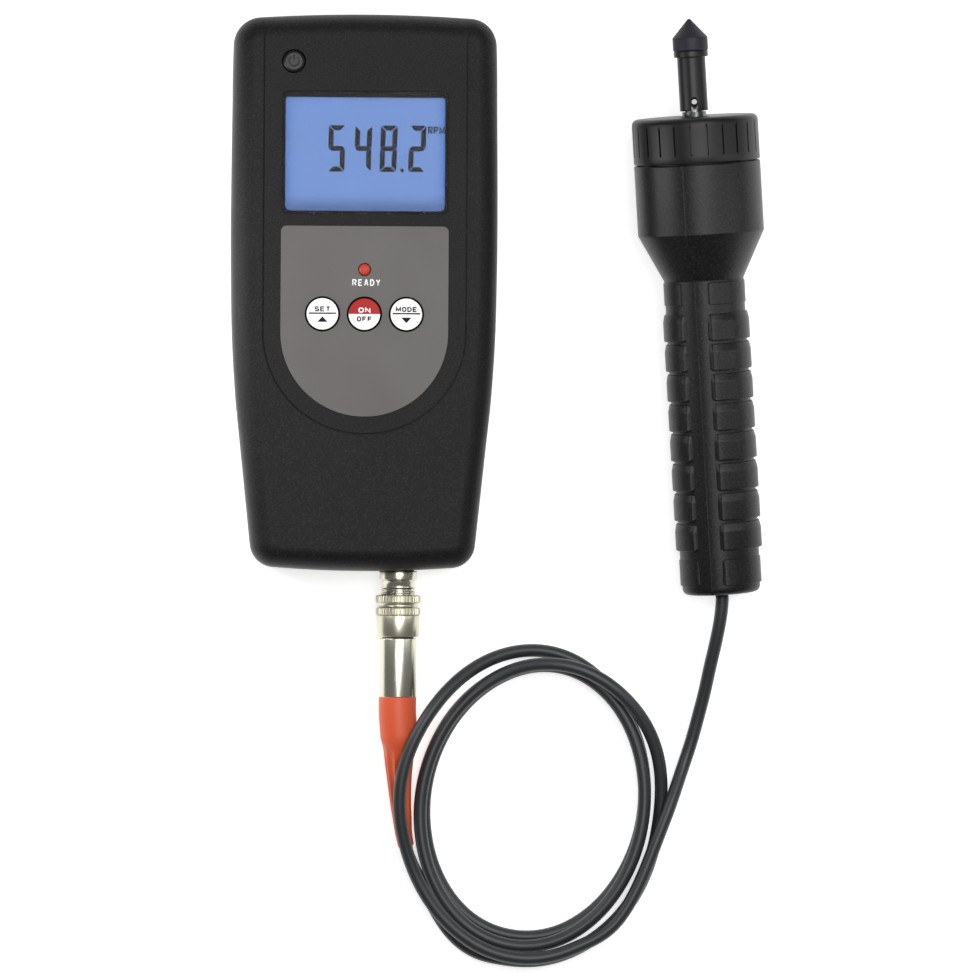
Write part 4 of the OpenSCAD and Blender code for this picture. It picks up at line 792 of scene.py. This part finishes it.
def ribbon(points, width, z0, z1, into):
    """Adds a flat pen stroke along a line, with mitred corners."""
    points = [Vector(p) for p in points]
    closed = (points[0] - points[-1]).length < 1e-6
    if closed:
        points = points[:-1]
    n, rings = len(points), []
    for i, p in enumerate(points):
        before = (p - points[i - 1] if closed or i > 0 else points[1] - p).normalized()
        after = (points[(i + 1) % n] - p).normalized() if closed or i < n - 1 else before
        across = Vector((-(before + after).y, (before + after).x)).normalized()
        reach = width / 2 / max(across.dot(Vector((-after.y, after.x))), 0.45)
        a, b = p + across * reach, p - across * reach
        rings.append([(a.x, a.y, z0), (a.x, a.y, z1), (b.x, b.y, z1), (b.x, b.y, z0)])
    skinned(rings, closed, into)


def lettering(name, text, centre, height, width, z, material, body, pen, space):
    """Plain printed letters, as thick as ink."""
    wide = [1.2 if c == "M" else 1.0 for c in text]
    unit = (width - space * (len(text) - 1)) / sum(wide)
    bm = bmesh.new()
    x = centre[0] - width / 2 + pen / 2
    y = centre[1] - height / 2 + pen / 2
    for c, w in zip(text, wide):
        for stroke in LETTERS[c]:
            line = [(x + px * (unit * w - pen), y + py * (height - pen)) for px, py in stroke]
            ribbon(line, pen, z - 0.01, z + PRINT_T, bm)
        x += unit * w + space
    piece(name, bm, material, body, (), smooth=False)


lettering("display_unit", "RPM", (18.85, 42.9), 2.1, 4.5, GLASS_TOP, "segment", "meter",
          0.38, 0.24)
lettering("lamp_word", "READY", (0.45, 2.45), 1.75, 7.4, CASE_T + SEAT_GAP, "ink_white", "meter",
          0.3, 0.45)


def make_window_border():
    """Black border printed under the window, deeper at its upper edge by a band of painted shadow from the
    recess's upper wall.
    """
    outer = rounded_rectangle(WINDOW_W - 2 * BORDER_GAP, WINDOW_H - 2 * BORDER_GAP, WINDOW_R, WINDOW_Y)
    # painted shadow: the inner edge is drawn lower at the top, as if shaded by the recess
    inner = rounded_rectangle(WINDOW_W - 2 * LEDGE, WINDOW_H - 2 * LEDGE - BORDER_TOP_SHADOW, BORDER_R,
                              WINDOW_Y - BORDER_TOP_SHADOW / 2)
    low = WINDOW_Z + BORDER_RAISED
    border = rim(inner, outer, low, low + BORDER_T)
    piece("window_border", border, "ink_black", "meter", (), smooth=False)


make_window_border()
dress(["display_window"], "window", 0.12)
dress(["display_glass"], "lcd")
dress(["display_frame"], "case_plain", 0.1)
dress(["display_backlight"], "guide")
dress(["signal_lamp"], "lamp")


def make_overlay():
    """The grey overlay film with its openings for keys and lamp."""
    top = CASE_T + SEAT_GAP
    film = prism(d_outline(OVERLAY_W, OVERLAY_TOP, OVERLAY_R), top - OVERLAY_T, top)
    plate = piece("overlay_film", film, "overlay", "meter", ("overlay_plate",))
    holes = [prism(disc(x, KEY_Y, KEY_R + KEY_GAP), 0, 2 * CASE_T) for x in (-KEY_PITCH, 0, KEY_PITCH)]
    holes.append(prism(disc(0, LAMP_Y, LAMP_R + LAMP_RING), 0, 2 * CASE_T))
    edged(cut_by(plate, holes), FILM_EDGE, 2)


make_overlay()


# Keys

WORD_H = 1.35


def key_profile(r, top, dome):
    """Stem, collar and cap with a rounded rim and a slightly domed top."""
    collar_r, collar_z, collar_low = r + COLLAR_OUT, INNER_Z - COLLAR_GAP, INNER_Z - COLLAR_GAP - COLLAR_T
    foot = BOARD_TOP + STEM_FOOT
    edge = filleted([(0, foot), (STEM_R, foot), (STEM_R, collar_low), (collar_r, collar_low),
                     (collar_r, collar_z), (r, collar_z), (r, top - dome)], [0, 0.1, 0, 0.1, 0.1, 0, 0], 2)
    cap = arc(r - KEY_ROUND, top - dome - KEY_ROUND, KEY_ROUND, 0, 80, 6)
    crown = [(r * 0.9 * (1 - k / 6), top - dome * (0.9 * (1 - k / 6)) ** 2) for k in range(7)]
    return edge[:-1] + cap + crown


def make_keys():
    """The keys with their words and signs."""
    places = (("function_key", -KEY_PITCH, "key_white", "key_white"),
              ("measure_key", 0, "key_split", "key_red"),
              ("memory_key", KEY_PITCH, "key_white", "key_white"))
    for node, x, material, slot in places:
        turned(node + "_cap", key_profile(KEY_R, KEY_TOP, 0.06), material, node, (node,),
               Matrix.Translation((x, KEY_Y, 0)), 80)
    bar = [(-3.62, -0.02), (3.62, -0.02), (3.62, 0.36), (-3.62, 0.36)]
    for node, word, x, width, up in (("function_key", "SET", -KEY_PITCH, 4.2, 1),
                                     ("memory_key", "MODE", KEY_PITCH, 5.6, -1)):
        lettering(node + "_word", word, (x, KEY_Y + 1.3), WORD_H, width, KEY_TOP, "ink_black", node,
                  0.31, 0.26)
        arrow = [(-1.35, -0.62 * up - 1.5), (1.35, -0.62 * up - 1.5), (0, 0.82 * up - 1.5)]
        bm = bmesh.new()
        for shape in (bar, arrow):
            prism([(x + px, KEY_Y + py) for px, py in shape], KEY_TOP, KEY_TOP + 0.02, bm)
        piece(node + "_signs", bm, "ink_black", node, (), smooth=False)
    for name, word, y, width, ink, space in (("measure_key_on", "ON", 1.05, 3.2, "white", 0.3),
                                             ("measure_key_off", "OFF", -1.3, 4.0, "black", 0.28)):
        lettering(name, word, (0, KEY_Y + y), WORD_H, width, KEY_TOP, "ink_" + ink, "measure_key",
                  0.33, space)

    turned("standby_key_cap", key_profile(STANDBY_R, STANDBY_TOP, 0.04), "key_black", "standby_key",
           ("standby_key",), Matrix.Translation((STANDBY_X, STANDBY_Y, 0)), 72)
    middle = Vector((STANDBY_X, STANDBY_Y, STANDBY_TOP - 0.02))
    turns = [math.radians(a) for a in range(38, 323, 6)]
    ring = [middle + Vector((math.sin(a), math.cos(a), 0)) * 1.3 for a in turns]
    stroke = [middle + Vector((0, y / 10, 0)) for y in range(4, 18, 2)]
    for name, path in (("standby_key_ring", ring), ("standby_key_stroke", stroke)):
        piece(name, tube(path, lambda i, a: 0.2, 10), "key_black", "standby_key", ())


make_keys()


# Connector

def make_socket():
    """The socket's barrel: flange, neck and a thread that runs out at both ends."""
    low, high = THREAD_START, THREAD_END

    def radius(q, z, a):
        if q < THREAD_R - 0.05 or not low < z < high:
            return q
        phase = (z / THREAD_PITCH - a / (2 * math.pi)) % 1
        height = max(0.0, min(1.0, 1.5 - abs(phase - 0.5) * 4))
        ease = min(1, (z - low) / 0.5, (high - z) / 0.5)
        return q - THREAD_DEPTH * (1 - height * ease)

    flange = filleted([(SOCKET_BORE_R, -SOCKET_TAIL), (SOCKET_NECK_R, -SOCKET_TAIL), (SOCKET_NECK_R, 0),
                       (FLANGE_R, 0), (FLANGE_R, FLANGE_T), (THREAD_ROOT_R, FLANGE_T), (THREAD_ROOT_R, low)],
                      [0, 0.1, 0, 0.2, 0.25, 0, 0], 3)
    thread = [(THREAD_R, low + (high - low) * k / 90) for k in range(1, 90)]
    end = [(THREAD_ROOT_R, high), (SOCKET_BORE_R + 0.2, high), (SOCKET_BORE_R, high - 0.2)]
    profile = flange + thread + end
    turned("socket_barrel", profile, "nickel", "meter", ("socket_body",), SOCKET, 96, radius)


def make_ring():
    """The coupling ring with its two knurled bands."""
    def radius(q, z, a):
        for low, high in KNURL_BANDS:
            if q > KNURL_R - 0.3 and low + 0.15 < z < high - 0.15:
                return q - KNURL_DEPTH * (1 - min(1, (0.5 + 0.5 * math.cos(KNURL_TEETH * a)) * 2.2))
        return q

    outer = []
    for low, high in KNURL_BANDS:
        outer += [(RING_EDGE_R, low), (5.75, low + 0.05), (KNURL_R, low + 0.3), (KNURL_R, low + 0.35)]
        outer += [(KNURL_R, low + 0.35 + (high - low - 0.7) * k / 4) for k in range(1, 4)]
        outer += [(KNURL_R, high - 0.35), (KNURL_R, high - 0.3), (5.75, high - 0.05), (RING_EDGE_R, high)]
    outer += [(5.6, 11.82), (5.78, 11.9), (RING_R, 12.0), (RING_R, 17.3), (5.7, 17.5)]
    outer += [(RING_EDGE_R, RING_END), (RING_LIP_R, RING_END), (RING_LIP_R, RING_LIP_START),
              (RING_BORE_R, RING_LIP_START), (RING_BORE_R, KNURL_BANDS[0][0])]
    turned("coupling_ring_knurled", outer, "nickel_knurled", "coupling_ring", ("coupling_ring",),
           SOCKET, 480, radius)


def make_plug():
    """The plug's plated shell, stepped where the ring and the boot sit."""
    steps = ((PLUG_NOSE_R, PLUG_START, PLUG_NOSE_END), (PLUG_STEP_R, PLUG_NOSE_END, PLUG_STEP_END),
             (PLUG_NECK_R, PLUG_STEP_END, PLUG_NECK_END), (PLUG_R, PLUG_NECK_END, PLUG_END))
    line = [(r, z) for r, low, high in steps for z in (low, high)]
    profile = filleted([(PLUG_BORE_R, PLUG_START), *line, (PLUG_BORE_R, PLUG_END)],
                       [0, 0.2, 0, 0.1, 0.1, 0, 0, 0.25, 0.15, 0], 3)
    return turned("plug_barrel", profile, "nickel", "probe_set", ("plug_shell",), SOCKET, 96)


def make_boot():
    """The boot's soft sleeve: fluted along its waist, drawn in a little at its end."""
    path = smooth_path(BOOT_LINE, BOOT_STEPS)
    last = len(path) - 1
    shares = [smooth_value(BOOT_R_SHARE, i // BOOT_STEPS, i % BOOT_STEPS / BOOT_STEPS) for i in range(last)]
    shares.append(0.0)

    def radius(i, a):
        r = BOOT_TIP_R + (BOOT_R - BOOT_TIP_R) * min(max(shares[i], 0.0), 1)
        along = i / last
        cut = FLUTE_SHARE * min(1, max(0, (along - 0.26) / 0.14)) * min(1, max(0, (0.93 - along) / 0.25))
        r *= 1 - cut * abs(math.sin(a * FLUTES / 2))
        return r - 0.12 if i == last else r

    return piece("boot_sleeve", tube(path, radius, 120), "boot", "probe_set", ("plug_boot",))


make_socket()
make_ring()
plug = make_plug()
boot = make_boot()


# Probe

def pad(bm, z0, z1, top, top_edge, drop, low_edge, corner):
    """Adds a rib or pad that lies round the grip from strip to strip, its ends rounded."""
    base = GRIP_R - PAD_ROOT
    half = (z1 - z0) / 2
    middle = (z0 + z1) / 2
    low = top - drop
    section = filleted([(-half, base), (-half, top), (half - top_edge, top), (half, low), (half, base)],
                       [0, low_edge, 1.2 * top_edge, 0.25, 0], 5)
    length = math.radians(180 - 2 * STRIP_HALF) * top
    ease = [length * 0.09 * (k / 16) ** 1.4 for k in range(17)]
    stations = ease + [length * (0.1 + 0.8 * k / 22) for k in range(23)]
    stations += [length - s for s in reversed(ease)]
    rings = []
    for s in stations:
        gap = min(s, length - s)
        short = corner - min(gap, corner)
        w = half - corner + math.sqrt(corner ** 2 - short ** 2)
        rise = min(gap / PAD_RISE, 1)
        rise = rise * rise * (3 - 2 * rise)
        a = math.radians(STRIP_HALF) + s / top
        ring = []
        for z, r in section:
            r = base + (r - base) * rise if r > base else r
            ring.append((r * math.cos(a), r * math.sin(a), middle + z * w / half))
        rings.append(ring)
    skinned(rings, into=bm)


def make_probe_half(name, side, node):
    """Half of the probe's housing with its ribs and its two plain pads."""
    inner = GRIP_R - PROBE_WALL
    mouth = HEAD_R - PROBE_WALL
    seat = HEAD_END - MOUTH_DEPTH
    profile = filleted(
        [(CORD_HOLE_R, 0), (BUTT_R, 0), (GRIP_R, RIBS_START), (GRIP_R, CONE_START), (HEAD_R, HEAD_START),
         (HEAD_R, HEAD_END), (mouth, HEAD_END), (mouth, seat), (mouth - PROBE_WALL, seat),
         (mouth - PROBE_WALL, HEAD_START + PROBE_WALL), (inner, CONE_START + PROBE_WALL), (inner, GROMMET_L),
         (CORD_HOLE_R, GROMMET_L)],
        [0.2, BUTT_ROUND, 0, 1.0, 0.7, HEAD_EDGE, 0.15, 0, 0, 0, 0, 0, 0], 6, closed=True)
    bm = spun(profile, 72, None, SEAM_GAP, 180 - 2 * SEAM_GAP)
    for i in range(RIB_COUNT):
        z = RIBS_START + i * RIB_PITCH
        pad(bm, z, z + RIB_L, RIB_R, RIB_TOP_EDGE, RIB_TOP_DROP, RIB_LOW_EDGE, 2.2)
    for z0, z1 in PAD_PLACES:
        pad(bm, z0, z1, PAD_R, 0.2, 0.2, 0.2, 2.4)
    turn = Matrix.Rotation(math.radians(-90 + SEAM_ANGLE + (0 if side > 0 else 180)), 4, "Z")
    half = piece(name, bm, "probe", "probe_set", (node,), PROBE @ turn)
    edged(half, 0.05, 1, 50)


make_probe_half("grip_half_right", 1, "probe_shell_right")
make_probe_half("grip_half_left", -1, "probe_shell_left")


def make_cap():
    """The adapter cap: grooved round its rim, with its spigot and its bearing tube."""
    low, high = GROOVE_LOW, CAP_L - CAP_ROUND - 0.9
    spigot = HEAD_R - PROBE_WALL - 0.05
    outer = [(HEAD_R - 0.35, 0), (HEAD_R - 0.1, 0.1)]
    steps = (0.35, low - 0.12, low, low + 0.12, low + 0.5, high - 0.5, high - 0.12, high)
    outer += [(HEAD_R, z) for z in steps]
    outer += arc(HEAD_R - CAP_ROUND, CAP_L - CAP_ROUND, CAP_ROUND, 0, 90, 8)
    hole = SPINDLE_SEAT_R + 0.3
    roof = CAP_L - CAP_WALL
    inner = [(hole + 0.25, CAP_L), (hole, CAP_L - 0.25), (hole, roof), (BEARING_R, roof), (BEARING_R, 2.1),
             (BEARING_R + 1.6, 2.1), (BEARING_R + 1.6, roof), (spigot - SPIGOT_T, roof),
             (spigot - SPIGOT_T, -SPIGOT_L), (spigot - 0.3, -SPIGOT_L), (spigot, 0.3 - SPIGOT_L), (spigot, 0)]
    profile = outer + inner
    angles = []
    half = math.degrees(GROOVE_W / 2 / HEAD_R)
    for k in range(CAP_GROOVES):
        c = 360 * (k + 0.5) / CAP_GROOVES
        angles += [c + half * f for f in (-1.5, -1.12, -0.9, -0.5, 0, 0.5, 0.9, 1.12, 1.5)]
        angles += [c + half * 1.5 + (360 / CAP_GROOVES - 3 * half) * j / 5 for j in range(1, 5)]
    rings = []
    for a in angles:
        off = abs(a % (360 / CAP_GROOVES) - 180 / CAP_GROOVES) / half
        across = max(0.0, min(1.0, (1.12 - off) / 0.22))
        ring = []
        for r, z in profile:
            along = max(0.0, min(1.0, (z - low + 0.12) / 0.24, (high + 0.12 - z) / 0.24))
            q = r - GROOVE_DEPTH * across * along if r > spigot + 0.5 and low - 0.1 < z < high + 0.1 else r
            ring.append((q * math.cos(math.radians(a)), q * math.sin(math.radians(a)), z))
        rings.append(ring)
    place = PROBE @ Matrix.Translation((0, 0, CAP_START))
    cap = piece("adapter_cap_grooved", skinned(rings, closed=True), "cap", "contact_adapter",
                ("adapter_cap",), place)
    sharp = cap.modifiers.new("edges", "EDGE_SPLIT")
    sharp.split_angle = math.radians(40)


make_cap()


def make_tip():
    """The slotted sleeve and the pointed rubber cone in its end."""
    place = PROBE @ Matrix.Translation((0, 0, SLEEVE_START))
    profile = filleted(
        [(SPINDLE_R + 0.05, 0), (SLEEVE_R, 0), (SLEEVE_R, SLEEVE_L - LIP_L), (LIP_R, SLEEVE_L - LIP_L),
         (LIP_R, SLEEVE_L), (TIP_STEM_R, SLEEVE_L), (TIP_STEM_R, SLEEVE_L - TIP_STEM_L),
         (SPINDLE_R + 0.05, SLEEVE_BORE_L)], [0, 0.25, 0.2, 0.25, 0.25, 0, 0, 0], 4, closed=True)
    sleeve = turned("tip_sleeve_slotted", profile, "sleeve", "cone_tip", ("tip_sleeve",),
                    place, 72)
    mouth = SLOT_L - SLOT_W / 2
    slot = [(-SLOT_W / 2, -1.0)] + [(-x, mouth + y) for x, y in arc(0, 0, SLOT_W / 2, 0, 180, 16)]
    slot.append((SLOT_W / 2, -1.0))
    across = place @ Matrix.Rotation(math.radians(90), 4, "X")
    cut_by(sleeve, [piece("slot", prism(slot, -2 * SLEEVE_R, 2 * SLEEVE_R), matrix=across)])
    edged(sleeve, 0.08, 2)
    half = math.atan2(TIP_R, TIP_POINT)
    nose = 0.5
    top = TIP_STRAIGHT + TIP_POINT
    stem = TIP_STEM_R - 0.02
    cone = [(0, -TIP_STEM_L), (stem, -TIP_STEM_L), (stem, 0), (TIP_R, 0), (TIP_R, TIP_STRAIGHT),
            (nose * math.cos(half), top - nose / math.tan(half) * math.cos(half)), (0, top - nose * 0.6)]
    cone = filleted(cone, [0, 0.2, 0, 0.4, 0.35, 0.3, 0], 5)
    turned("tip_rubber_cone", cone, "tip", "cone_tip", ("rubber_tip",),
           place @ Matrix.Translation((0, 0, SLEEVE_L)), 72)


make_tip()


# CAD pieces that stay as they are

dress(["back_shell", "battery_door"], "case")
dress(["main_board", "probe_board", "sensor_board"], "board")
dress(["key_switches", "socket_insert", "plug_insert"], "case_plain")
dress(["battery_cells"], "cell", 0.2)
dress(["battery_contacts", "socket_nut"], "nickel")
dress(["case_screws", "board_screws", "probe_screws", "disc_screw"], "steel")
dress(["spindle_shaft", "bearing_rear", "bearing_front", "drive_pin"], "ground")
dress(["bearing_spacer"], "alloy")
dress(["chopper_disc"], "key_black")
dress(["light_source"], "emitter")
dress(["light_receiver"], "receiver")
dress(["sensor_window"], "filter")
dress(["cord_grommet"], "cord")


# Floor and light

FLOOR_HALF, FLOOR_Z = 2000.0, -0.05


def area_light(name, place, aim, size, power, colour="#ffffff"):
    data = bpy.data.lights.new(name, "AREA")
    data.shape = "RECTANGLE"
    data.size, data.size_y = size
    data.energy = power
    data.color = linear(colour)[:3]
    light = bpy.data.objects.new(name, data)
    light.location = Vector(place)
    light.rotation_euler = (Vector(aim) - Vector(place)).to_track_quat("-Z", "Y").to_euler()
    scene.collection.objects.link(light)


sheet = bmesh.new()
bmesh.ops.create_grid(sheet, x_segments=1, y_segments=1, size=FLOOR_HALF)
bmesh.ops.translate(sheet, vec=Vector((0, 0, FLOOR_Z)), verts=sheet.verts)
piece("floor", sheet, "floor")

centre = (0.03, -0.05, 0.0)
area_light("key_softbox", (0.22, 0.1, 1.2), centre, (0.55, 0.9), 9.0)
area_light("left_softbox", (-0.15, 0.0, 0.08), (-0.03, 0.0, 0.02), (0.05, 0.26), 0.28)
area_light("right_softbox", (0.27, 0.0, 0.16), (0.09, 0.0, 0.02), (0.07, 0.2), 0.12)
area_light("top_softbox", (-0.1, 0.95, 0.75), centre, (1.1, 0.4), 1.4)

world = bpy.data.worlds.new("studio")
scene.world = world
world.use_nodes = True
world.node_tree.nodes["Background"].inputs[0].default_value = linear("#ffffff")
world.node_tree.nodes["Background"].inputs[1].default_value = 0.16
scene.view_settings.view_transform = "Standard"
